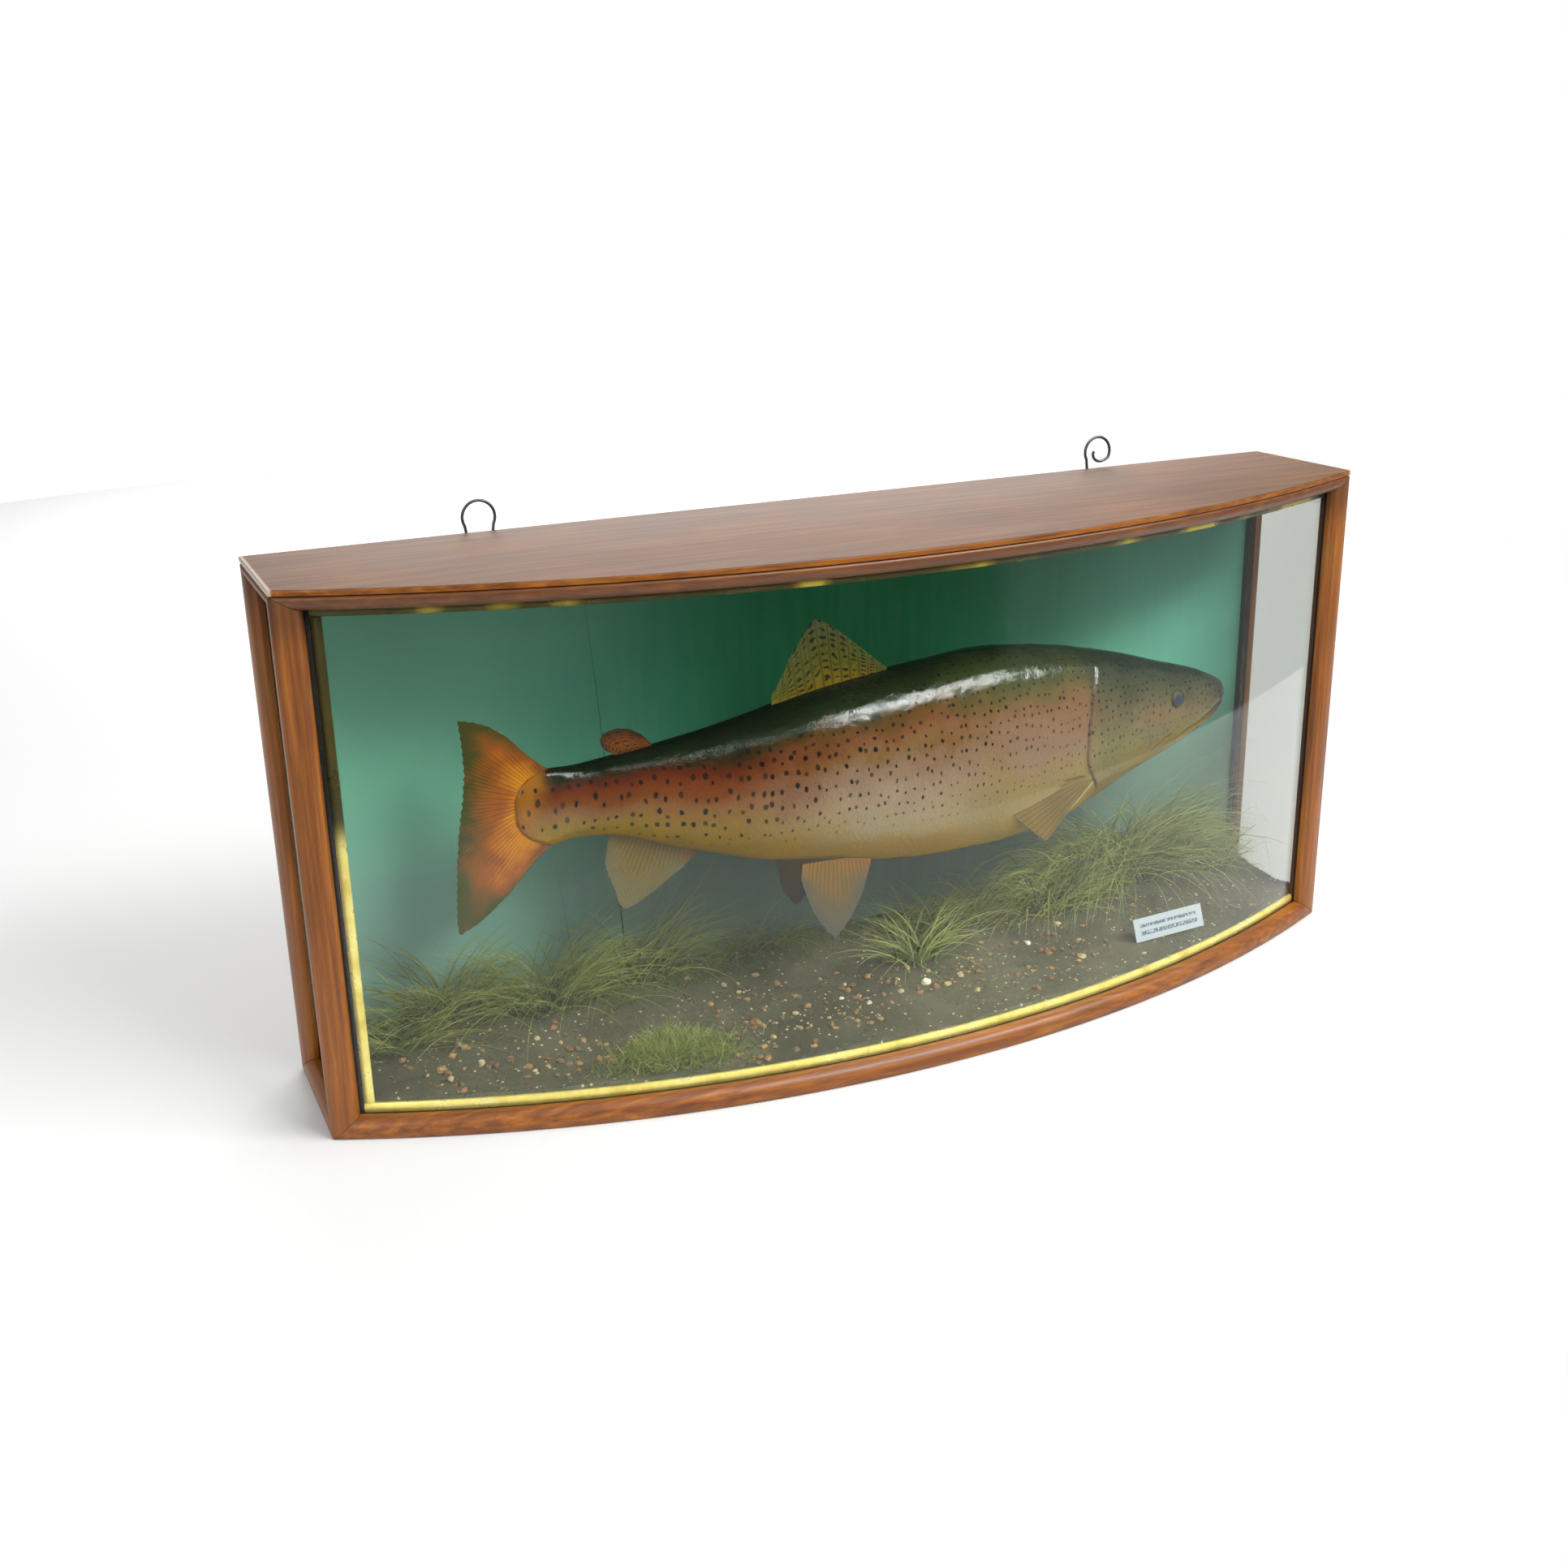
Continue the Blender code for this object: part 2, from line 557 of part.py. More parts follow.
# ---- trout -----------------------------------------------------------------------------------------
def smooth_line(stations, column):
    """A smooth line through the stations that never overshoots between them."""
    xs = [row[0] for row in stations]
    ys = [row[column] for row in stations]
    slopes = [(ys[i + 1] - ys[i]) / (xs[i + 1] - xs[i]) for i in range(len(xs) - 1)]
    tangents = [slopes[0]]
    for left, right in zip(slopes, slopes[1:]):
        if left * right <= 0:
            tangents.append(0.0)
        else:
            tangents.append(2 * left * right / (left + right))
    tangents.append(slopes[-1])

    def value(x):
        i = 0
        while i < len(xs) - 2 and x > xs[i + 1]:
            i += 1
        span = xs[i + 1] - xs[i]
        t = (x - xs[i]) / span
        rise = (2 * t ** 3 - 3 * t ** 2 + 1) * ys[i] + (-2 * t ** 3 + 3 * t ** 2) * ys[i + 1]
        bend = (t ** 3 - 2 * t ** 2 + t) * tangents[i] + (t ** 3 - t ** 2) * tangents[i + 1]
        return rise + bend * span

    return value


BACK_LINE = smooth_line(BODY_LINES, 1)
BELLY_LINE = smooth_line(BODY_LINES, 2)
HALF_WIDTH = smooth_line(BODY_LINES, 3)


def body_point(behind, turn, grow=0.0):
    """A point on the flesh, millimetres behind the snout and turned from the near flank upwards."""
    back = BACK_LINE(behind)
    belly = BELLY_LINE(behind)
    level = belly + (back - belly) * WIDEST
    across = math.cos(turn)
    up = math.sin(turn)
    reach = back - level if up > 0 else level - belly
    y = math.copysign(abs(across) ** SECTION_POWER, across) * (HALF_WIDTH(behind) + grow)
    z = level + math.copysign(abs(up) ** SECTION_POWER, up) * (reach + grow)
    return Vector((SNOUT_X - behind / 1000, FISH_Y - y / 1000, z / 1000))


def loft(name, starts, ends, spacing, finish, grow=0.0):
    """Skin the body between two cuts, each a function of the turn; spacing runs from 0 to 1."""
    bm = bmesh.new()
    turns = [2 * math.pi * i / RING_POINTS for i in range(RING_POINTS)]
    rings = []
    for share in spacing:
        ring = []
        for turn in turns:
            behind = starts(turn) + (ends(turn) - starts(turn)) * share
            ring.append(bm.verts.new(body_point(behind, turn, grow)))
        rings.append(ring)
    for near, far in zip(rings, rings[1:]):
        for i in range(RING_POINTS):
            j = (i + 1) % RING_POINTS
            bm.faces.new((near[i], near[j], far[j], far[i]))
    for ring in (rings[0], rings[-1]):
        middle = sum((v.co for v in ring), Vector()) / RING_POINTS
        hub = bm.verts.new(middle)
        for i in range(RING_POINTS):
            bm.faces.new((ring[i], ring[(i + 1) % RING_POINTS], hub))
    return add_object(name, mesh_from(bm, name), finish)


def gill_cut(turn):
    """How far behind the snout the gill opening lies, the same on both flanks."""
    away = math.asin(math.sin(turn)) - GILL_LOW
    power = GILL_POWERS[0] if away > 0 else GILL_POWERS[1]
    return GILL_CUT + GILL_BULGE * max(0.0, math.cos(away)) ** power


def straight(behind):
    return lambda turn: behind


def shifted(cut, by):
    return lambda turn: cut(turn) + by


def even(count):
    return [i / count for i in range(count + 1)]


def head_spacing():
    return [behind / GILL_CUT for behind in HEAD_SPACING] + [1.0]


def whole_spacing():
    """The stations of the head, both trunks and the wrist, as shares of the whole length."""
    stations = list(HEAD_SPACING)
    for start, end, spacing in ((GILL_CUT, MID_CUT, even(TRUNK_STEPS)), (MID_CUT, WRIST_CUT, even(TRUNK_STEPS)),
                                (WRIST_CUT, FLESH_END, WRIST_SPACING)):
        stations += [start + (end - start) * share for share in spacing[:-1]]
    return [behind / FLESH_END for behind in stations] + [1.0]


def outline_mm(points):
    return [(x / 1000, z / 1000) for x, z in points]


def fin_plate(name, points, thickness, finish, pivot=(0.0, 0.0), splay=0.0):
    """A fin as a plate in the middle plane, or moved sideways and splayed about its root."""
    offset, height = pivot
    moved = [(x, z - height) for x, z in outline_mm(points)]
    place = Matrix.Translation((0.0, FISH_Y + offset, height)) @ Matrix.Rotation(math.pi / 2 + splay, 4, "X")
    return plate(name, moved, thickness, finish, place)


def prism(name, points, y_low, y_high):
    """A cutter with an outline in X and height, between two planes across the fish."""
    middle = (y_low + y_high) / 2
    place = Matrix.Translation((0.0, middle, 0.0)) @ Matrix.Rotation(math.pi / 2, 4, "X")
    return as_cutter(plate(name, outline_mm(points), y_high - y_low, FLESH, place))


def grown_outline(points, by):
    """The outline moved outwards by a few tenths of a millimetre about its own middle."""
    cx = sum(p[0] for p in points) / len(points)
    cz = sum(p[1] for p in points) / len(points)
    grown = []
    for x, z in points:
        away = math.hypot(x - cx, z - cz)
        grown.append((x + (x - cx) / away * by, z + (z - cz) / away * by))
    return grown


def eye_seat():
    """Where the skin is at the eye and how it faces, on the flank at y below the middle plane."""
    behind = (SNOUT_X - EYE_X) * 1000
    back = BACK_LINE(behind)
    belly = BELLY_LINE(behind)
    level = belly + (back - belly) * WIDEST
    up = (EYE_Z * 1000 - level) / (back - level)
    turn = math.asin(up ** (1 / SECTION_POWER))
    step = 0.01
    along = body_point(behind + 1.0, turn) - body_point(behind - 1.0, turn)
    around = body_point(behind, turn + step) - body_point(behind, turn - step)
    facing = along.cross(around).normalized()
    if facing.y > 0:
        facing = -facing
    return body_point(behind, turn), facing


def eye_ball(name, side, gap, finish):
    """An eye set square to the skin, a shallow ellipsoid, on the given side of the fish."""
    bm = bmesh.new()
    bmesh.ops.create_uvsphere(bm, u_segments=EYE_STEPS, v_segments=EYE_STEPS // 2, radius=1.0)
    seat, facing = eye_seat()
    if side > 0:
        seat.y = 2 * FISH_Y - seat.y
        facing.y = -facing.y
    size = Matrix.Diagonal((EYE_R + gap, EYE_R + gap, EYE_BULGE_R + gap, 1.0))
    turned = facing.to_track_quat("Z", "Y").to_matrix().to_4x4()
    place = Matrix.Translation(seat - facing * EYE_SINK) @ turned @ size
    bmesh.ops.transform(bm, matrix=place, verts=bm.verts)
    return add_object(name, mesh_from(bm, name), finish)


def build_head(flesh, eye):
    nose = straight(0.0)
    rear = shifted(gill_cut, -CUT_HALF)
    jaw_low, jaw_high = FISH_Y - 0.06, FISH_Y + 0.06
    jaw_keep = prism("cut_jaw_keep", JAW_CUT, jaw_low, jaw_high)
    jaw_clear = prism("cut_jaw_clear", grown_outline(JAW_CUT, FIN_CLEARANCE), jaw_low, jaw_high)
    head = loft("head", nose, rear, head_spacing(), flesh)
    jaw = loft("lower_jaw", nose, rear, head_spacing(), flesh)
    boolean(jaw, jaw_keep, "INTERSECT")
    boolean(head, jaw_clear, "DIFFERENCE")
    for side, word in ((-1, "right"), (1, "left")):
        inner = FISH_Y + side * GILL_PLATE_DEPTH
        outer = FISH_Y + side * 0.06
        keep = prism(f"cut_gill_keep_{word}", GILL_PLATE, min(inner, outer), max(inner, outer))
        wide = grown_outline(GILL_PLATE, FIN_CLEARANCE)
        inner -= side * FIN_CLEARANCE / 1000
        clear = prism(f"cut_gill_clear_{word}", wide, min(inner, outer), max(inner, outer))
        cover = loft(f"gill_cover_{word}", nose, rear, head_spacing(), flesh)
        boolean(cover, keep, "INTERSECT")
        boolean(head, clear, "DIFFERENCE")
        socket = as_cutter(eye_ball(f"cut_socket_{word}", side, SOCKET_GAP, flesh))
        boolean(head, socket, "DIFFERENCE")
        eye_ball(f"eye_{word}", side, 0.0, eye)


def build_trunk(flesh):
    front = shifted(gill_cut, CUT_HALF)
    loft("trunk_front", front, straight(MID_CUT - CUT_HALF), even(TRUNK_STEPS), flesh)
    loft("trunk_rear", straight(MID_CUT + CUT_HALF), straight(WRIST_CUT - CUT_HALF), even(TRUNK_STEPS), flesh)
    loft("tail_wrist", straight(WRIST_CUT + CUT_HALF), straight(FLESH_END), WRIST_SPACING, flesh)


def build_fins(fin, body_cutter):
    made = [
        fin_plate("tail_fin", TAIL, TAIL_THICK, fin),
        fin_plate("dorsal_fin", DORSAL, FIN_THICK, fin),
        fin_plate("adipose_fin", ADIPOSE, 2 * FIN_THICK, fin),
        fin_plate("anal_fin", ANAL, FIN_THICK, fin),
    ]
    for side, word in ((-1, "right"), (1, "left")):
        pelvic = (-side * PELVIC_PIVOT[0], PELVIC_PIVOT[1])
        made.append(fin_plate(f"pelvic_fin_{word}", PELVIC, FIN_THICK, fin, pelvic, side * PELVIC_SPLAY))
        pectoral = (-side * PECTORAL_PIVOT[0], PECTORAL_PIVOT[1])
        made.append(fin_plate(f"pectoral_fin_{word}", PECTORAL, FIN_THICK, fin, pectoral, side * PECTORAL_SPLAY))
    for one in made:
        boolean(one, body_cutter, "DIFFERENCE")


def build_supports(iron, body_cutter):
    for x, word in zip(ROD_X, ("rear", "front")):
        y_from = FISH_Y
        y_to = Y_REAR - BACK_THICK - GAP
        rod = wire(f"fixing_rod_{word}", [(x, y_from, ROD_Z), (x, y_to, ROD_Z)], ROD_R, iron)
        boolean(rod, body_cutter, "DIFFERENCE")


# ---- riverbed and label ------------------------------------------------------------------------------
def bed_height(x, y):
    """Height of the moulded riverbed: a low bank along the back and gentle hollows."""
    back = (y - Y_CORNER) / SIDE_DEPTH
    swell = 0.0022 * math.sin(x * 17.0 + 1.1) + 0.0016 * math.sin(x * 31.0 - y * 40.0)
    bank = 0.009 * max(0.0, back) ** 1.5
    level = BED_LEVEL + swell + bank
    away = math.hypot(x - LABEL_AT[0], (y - LABEL_AT[1]) * 2.0)
    blend = min(1.0, max(0.0, (away - LABEL_PAD) / 0.05))
    blend = blend * blend * (3 - 2 * blend)
    floor = LABEL_AT[2] - GAP
    return floor + (level - floor) * blend


def build_bed(earth):
    bm = bmesh.new()
    bmesh.ops.create_grid(bm, x_segments=BED_COLUMNS, y_segments=BED_ROWS, size=1.0)
    y_back = Y_REAR - BACK_THICK - GAP
    for vert in bm.verts:
        x = vert.co.x * BED_HALF
        y_front = ARC_Y - math.sqrt((ARC_R - BED_V) ** 2 - x * x)
        y_front += BED_CLEAR * max(0.0, (abs(x) - BED_CLEAR_X) / (BED_HALF - BED_CLEAR_X))
        y = y_front + (y_back - y_front) * (vert.co.y + 1) / 2
        vert.co = (x, y, bed_height(x, y))
    grown = bmesh.ops.extrude_face_region(bm, geom=bm.faces[:])
    lower = [v for v in grown["geom"] if isinstance(v, bmesh.types.BMVert)]
    for vert in lower:
        vert.co.z = BOTTOM_THICK + GAP
    flat = [f for f in grown["geom"] if isinstance(f, bmesh.types.BMFace)]
    bmesh.ops.dissolve_faces(bm, faces=flat)
    add_object("riverbed", mesh_from(bm, "riverbed"), earth)


def grow_blade(bm, face, heading, rise, droop, length):
    """Extrude one face of a clump into an arching blade of three tapering lengths."""
    facing = face.normal.copy()
    centre = face.calc_center_median()
    rim = [v.co - centre for v in face.verts]
    for i, (share, width) in enumerate(zip(BLADE_SHARES, BLADE_WIDTHS)):
        pitch = math.radians(rise - droop * i / len(BLADE_SHARES))
        ahead = Vector((heading.x * math.cos(pitch), heading.y * math.cos(pitch), math.sin(pitch)))
        centre = centre + ahead * length * share
        turn = facing.rotation_difference(ahead)
        face = bmesh.ops.extrude_discrete_faces(bm, faces=[face])["faces"][0]
        for vert, reach in zip(face.verts, rim):
            vert.co = centre + (turn @ reach) * width
    bmesh.ops.pointmerge(bm, verts=face.verts[:], merge_co=centre)


def build_tufts(grass):
    """Each tuft is one body: a low clump seated on the bed, with blades fanned out of it."""
    bed = bpy.data.objects["riverbed"]
    bm = bmesh.new()
    bm.from_mesh(bed.data)
    bmesh.ops.translate(bm, verts=bm.verts, vec=(0.0, 0.0, GAP))
    seat = as_cutter(add_object("cut_tuft_seat", mesh_from(bm, "cut_tuft_seat"), grass))
    for name, ((x, y), half, length, droop, share) in TUFTS.items():
        bm = bmesh.new()
        bmesh.ops.create_icosphere(bm, subdivisions=2, radius=1.0)
        bmesh.ops.transform(bm, matrix=Matrix.Diagonal((*half, 1.0)), verts=bm.verts)
        bmesh.ops.translate(bm, verts=bm.verts, vec=(x, y, bed_height(x, y)))
        bm.normal_update()
        upper = [f for f in bm.faces if f.calc_center_median().z > bed_height(x, y) + half[2] * 0.15]
        upper.sort(key=lambda f: (f.calc_center_median().x - x) / half[0] + (f.calc_center_median().y - y))
        kept = [f for i, f in enumerate(upper) if int((i + 1) * share) > int(i * share)]
        for i, face in enumerate(kept):
            away = face.calc_center_median() - Vector((x, y, 0.0))
            out = math.hypot(away.x / half[0], away.y / half[1])
            side = math.copysign(1.0, away.x)
            heading = Vector((side, TUFT_FLAT * (away.y / half[1]) + TUFT_LEAN, 0.0)).normalized()
            rise = BLADE_RISE - BLADE_SPREAD * out
            grow_blade(bm, face, heading, rise, droop * (0.55 + 0.45 * out), length * (0.86 + 0.14 * math.sin(i * 2.4)))
        tuft = add_object(name, mesh_from(bm, name), grass)
        boolean(tuft, seat, "DIFFERENCE")


def label_place():
    turn = Matrix.Rotation(LABEL_YAW, 4, "Z")
    return Matrix.Translation(LABEL_AT) @ turn


def build_label(card, wood):
    wide, thick, tall = LABEL_SIZE
    face = [(-wide / 2, 0.0), (wide / 2, 0.0), (wide / 2, tall), (-wide / 2, tall)]
    lean = Matrix.Rotation(math.pi / 2 - LABEL_LEAN, 4, "X")
    lift = Matrix.Translation((0.0, 0.0, thick * math.sin(LABEL_LEAN)))
    plate("label_card", face, thick, card, label_place() @ lift @ lean)
    behind = (thick / 2 + 2 * GAP) / math.cos(LABEL_LEAN) + thick * math.sin(LABEL_LEAN) * math.tan(LABEL_LEAN)
    rise = tall * math.cos(LABEL_LEAN) * 0.9
    run = rise * math.tan(LABEL_LEAN)
    side_view = [(behind, 0.0), (behind + run, rise), (behind + WEDGE_DEPTH, 0.0)]
    upright = Matrix.Rotation(math.pi / 2, 4, "Z") @ Matrix.Rotation(math.pi / 2, 4, "X")
    plate("label_wedge", side_view, wide * 0.8, wood, label_place() @ upright)


clear_objects()
PARTS = new_collection("mounted_trout")
CUTTERS = new_collection("cutters")
WOOD = material("mahogany", (0.27, 0.083, 0.018), 0.35)
PINE = material("pine", (0.42, 0.28, 0.15), 0.6)
PAINT = material("painted_board", (0.07, 0.21, 0.15), 0.6)
GLASS = material("glass", (0.85, 0.9, 0.88), 0.05)
GILT = material("gilt", (0.72, 0.56, 0.16), 0.35, 0.6)
BLACK = material("black_liner", (0.006, 0.006, 0.005), 0.5)
STEEL = material("steel_wire", (0.25, 0.26, 0.27), 0.4, 1.0)
IRON = material("iron_wire", (0.05, 0.05, 0.05), 0.5, 0.8)
FLESH = material("fish_skin", (0.33, 0.25, 0.13), 0.25)
FIN = material("fish_fin", (0.40, 0.20, 0.05), 0.35)
EYE = material("glass_eye", (0.10, 0.12, 0.14), 0.08)
EARTH = material("riverbed", (0.15, 0.13, 0.09), 0.9)
GRASS = material("dyed_grass", (0.10, 0.14, 0.045), 0.8)
CARD = material("label_card", (0.75, 0.78, 0.78), 0.7)

build_case(WOOD, PAINT, GLASS, GILT, BLACK, PINE)
build_rings(STEEL)
BODY_CUTTER = as_cutter(
    loft("cut_body", straight(0.0), straight(FLESH_END + FIN_CLEARANCE), whole_spacing(), FLESH, FIN_CLEARANCE))
build_head(FLESH, EYE)
build_trunk(FLESH)
build_fins(FIN, BODY_CUTTER)
build_supports(IRON, BODY_CUTTER)
build_bed(EARTH)
build_tufts(GRASS)
build_label(CARD, PINE)
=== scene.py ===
"""Looks of the mounted rainbow trout in its bow-front case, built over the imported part.

Metres, +Z up, in the part's frame: X along the case, the bowed glass faces -Y. Fish sizes are in
millimetres, measured back from the snout, as a taxidermist's body plan is.
"""
import math
import random

import bmesh
import bpy
import numpy as np
from mathutils import Matrix, Vector, noise


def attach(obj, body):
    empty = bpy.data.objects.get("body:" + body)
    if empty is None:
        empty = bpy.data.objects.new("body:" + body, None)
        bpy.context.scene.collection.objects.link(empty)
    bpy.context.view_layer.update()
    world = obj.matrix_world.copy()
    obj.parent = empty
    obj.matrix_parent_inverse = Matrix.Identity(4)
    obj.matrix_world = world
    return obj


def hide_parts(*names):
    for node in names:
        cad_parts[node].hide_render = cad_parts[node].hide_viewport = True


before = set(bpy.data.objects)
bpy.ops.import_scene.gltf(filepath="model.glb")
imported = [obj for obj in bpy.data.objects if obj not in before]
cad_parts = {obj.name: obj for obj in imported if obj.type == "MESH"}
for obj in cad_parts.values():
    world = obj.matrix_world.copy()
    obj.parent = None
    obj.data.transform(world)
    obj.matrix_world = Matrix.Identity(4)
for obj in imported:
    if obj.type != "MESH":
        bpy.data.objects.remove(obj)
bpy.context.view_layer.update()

# ---- sizes shared with the part -----------------------------------------------------------------
WIDTH = 0.900
HEIGHT = 0.409
SIDE_DEPTH = 0.1223
BOW = 0.1010
TOP_THICK = 0.0045
BOTTOM_THICK = 0.010
BACK_THICK = 0.008
GAP = 0.0003
POST_FACE = 0.019
BOTTOM_FACE = 0.015
TOP_FACE = 0.0105
MOULD_DROP = 0.008
ARRIS = 0.0022
FLAT_SHARE = 0.30
LIP = 0.0035
REBATE = 0.005
FRAME_DEPTH = 0.020
SIDE_FRAME_DEPTH = 0.0146
GLASS_THICK = 0.0025
SLIP_THICK = 0.003
SLIP_FACE = 0.010
GILT_FACE = SLIP_FACE * 0.76   # the gilded strip is narrower than the slip, so the black liner behind shows beside it as a painted shadow gap
SLIP_INSET = 0.014
SLIP_POST_INSET = 0.022
SLIP_JOINT_X = -0.056
RIGHT_LINER_FACE = 0.0055
WIRE_R = 0.0012
RING_R = 0.0125
RING_X = (-0.2737, 0.2770)
RING_Z = (0.4195, 0.4225)
LEG_X = 0.0095
LEG_END_Z = 0.383
PLATE_THICK = 0.0015
DEPTH = BOW + SIDE_DEPTH + 2 * GAP + 2 * WIRE_R + PLATE_THICK
Y_FRONT = -DEPTH / 2
Y_CORNER = Y_FRONT + BOW
Y_REAR = Y_CORNER + SIDE_DEPTH
ARC_R = ((WIDTH / 2) ** 2 + BOW ** 2) / (2 * BOW)
ARC_Y = Y_FRONT + ARC_R
HALF_ANGLE = math.asin(WIDTH / 2 / ARC_R)
Z_RAIL_TOP = HEIGHT - TOP_THICK - GAP
GLASS_V = MOULD_DROP + LIP + GAP
SLIP_V = GLASS_V + GLASS_THICK + GAP
BED_V = SLIP_V + SLIP_THICK + GAP
FISH_Y = Y_CORNER + 0.020
SNOUT_X = 343.5
SECTION_POWER = 0.92
WIDEST = 0.52
AXIS_Z = 223                 # mm: a level line that stays inside the flesh
FLESH_END = 634.0
BODY_LINES = (
    (0.0, 224.0, 223.0, 0.5), (1.5, 230.5, 216.0, 5.0), (6.0, 236.5, 208.5, 9.5),
    (14.0, 241.0, 202.5, 14.0), (30.0, 248.3, 195.0, 19.0), (50.0, 254.8, 185.8, 22.5),
    (75.0, 262.2, 176.3, 27.0), (105.0, 271.6, 165.5, 32.0), (140.0, 280.5, 149.7, 36.5),
    (165.0, 286.0, 138.8, 39.5), (200.0, 291.2, 131.5, 42.5), (245.0, 294.8, 126.6, 45.0),
    (290.0, 291.3, 126.6, 45.0), (340.0, 286.8, 131.0, 43.5), (395.0, 279.5, 141.2, 39.0),
    (440.0, 269.8, 149.3, 33.0), (480.0, 262.4, 161.8, 27.0), (520.0, 257.0, 175.8, 21.5),
    (560.0, 252.7, 190.5, 16.0), (590.0, 250.3, 193.8, 12.0), (608.0, 250.8, 190.8, 9.0),
    (620.0, 247.0, 195.0, 6.5), (629.0, 240.0, 202.0, 4.5), (634.0, 231.0, 210.5, 2.5),
)
GILL_CUT = 143.0
GILL_BULGE = 18.5
GILL_LOW = math.radians(-8)
GILL_POWERS = (2.0, 10.0)
EYE_X = 278.6
EYE_Z = 232.0
EYE_R = 7.6
EYE_BULGE_R = 4.4
EYE_SINK = 2.2
SPOT_CELL = 5.7              # mm between spots at the snout
SPOT_GROWTH = 0.0068         # and how fast that grows toward the tail

# ---- how finely the looks are made --------------------------------------------------------------
ARC_STEPS = 96
OVOLO_STEPS = 14
SKIN_AROUND = 240
HEAD_STATIONS = 210
BODY_STATIONS = 130
BED_COLUMNS = 420
BED_ROWS = 96
SKIN_DEPTH = 0.35            # mm from the solids' surface down to the skin under the scales


# ---- small helpers ------------------------------------------------------------------------------
def hex_colour(code):
    """An sRGB hex colour as linear RGBA."""
    channels = [int(code[i:i + 2], 16) / 255 for i in (1, 3, 5)]
    linear = [c / 12.92 if c <= 0.04045 else ((c + 0.055) / 1.055) ** 2.4 for c in channels]
    return (*linear, 1.0)


def add_node(tree, kind, *inputs, output=None, stops=(), **settings):
    """Add a shader node with its settings, fill its inputs and return one of its outputs.

    Inputs follow the order of the sockets in use, or come by name in one dict: another node's
    output, a value or a hex colour. Stops are a ramp's (position, hex colour) pairs.
    """
    made = tree.nodes.new("ShaderNode" + kind)
    for key, value in settings.items():
        setattr(made, key, value)
    if stops:
        elements = made.color_ramp.elements
        while len(elements) < len(stops):
            elements.new(1.0)
        for element, (position, code) in zip(elements, stops):
            element.position = position
            element.color = hex_colour(code)
    if inputs and isinstance(inputs[0], dict):
        filled = [(made.inputs[key], value) for key, value in inputs[0].items()]
    else:
        filled = zip([socket for socket in made.inputs if socket.enabled], inputs)
    for socket, value in filled:
        if isinstance(value, bpy.types.NodeSocket):
            tree.links.new(value, socket)
        else:
            socket.default_value = hex_colour(value) if isinstance(value, str) else value
    if output:
        return made.outputs[output]
    return next(socket for socket in made.outputs if socket.enabled)


# settings that many nodes share: a range with soft ends, and a mix of two colours
SOFT = {"interpolation_type": "SMOOTHSTEP"}
COLOURS = {"data_type": "RGBA"}


def new_material(name, **settings):
    """A Principled material; settings are its own sockets, by name with underscores."""
    made = bpy.data.materials.new(name)
    made.use_nodes = True
    tree = made.node_tree
    shader = tree.nodes["Principled BSDF"]
    for key, value in settings.items():
        socket = shader.inputs[key.replace("_", " ")]
        socket.default_value = hex_colour(value) if isinstance(value, str) else value
    return made, tree, shader


def place_of(tree, scale=(1.0, 1.0, 1.0), location=(0.0, 0.0, 0.0), turn=(0.0, 0.0, 0.0)):
    """Object coordinates, placed and scaled for a pattern."""
    where = add_node(tree, "TexCoord", output="Object")
    return add_node(tree, "Mapping",
        {"Vector": where, "Scale": scale, "Location": location, "Rotation": turn})


def mesh_from(bm, name, tidy=True):
    if tidy:
        bmesh.ops.recalc_face_normals(bm, faces=bm.faces)
    mesh = bpy.data.meshes.new(name)
    bm.to_mesh(mesh)
    bm.free()
    return mesh


def add_piece(name, mesh, finish, replaces=(), smooth_angle=35.0):
    """Link a finished mesh as a piece of the still model."""
    obj = bpy.data.objects.new(name, mesh)
    bpy.context.scene.collection.objects.link(obj)
    mesh.materials.clear()
    mesh.materials.append(finish)
    mesh.shade_smooth()
    if smooth_angle:
        mesh.set_sharp_from_angle(angle=math.radians(smooth_angle))
    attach(obj, "root")
    if replaces:
        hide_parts(*replaces)
    return obj


def mesh_from_arrays(name, points, faces):
    """A mesh from an array of points and an array of equal-sided faces."""
    mesh = bpy.data.meshes.new(name)
    sides = faces.shape[1]
    mesh.vertices.add(len(points))
    mesh.vertices.foreach_set("co", points.astype(np.float32).ravel())
    mesh.loops.add(faces.size)
    mesh.loops.foreach_set("vertex_index", faces.astype(np.int32).ravel())
    mesh.polygons.add(len(faces))
    mesh.polygons.foreach_set("loop_start", np.arange(0, faces.size, sides, dtype=np.int32))
    mesh.update(calc_edges=True)
    return mesh


def set_values(mesh, name, values):
    """A number per vertex that materials can read."""
    layer = mesh.attributes.new(name, "FLOAT", "POINT")
    layer.data.foreach_set("value", np.asarray(values, np.float32))


def seed_shape(bm):
    """A small shape's points and triangles, to be repeated in a joined mesh."""
    bmesh.ops.triangulate(bm, faces=bm.faces)
    bmesh.ops.recalc_face_normals(bm, faces=bm.faces)
    bm.verts.ensure_lookup_table()
    points = np.array([v.co for v in bm.verts])
    faces = np.array([[v.index for v in f.verts] for f in bm.faces])
    bm.free()
    return points, faces


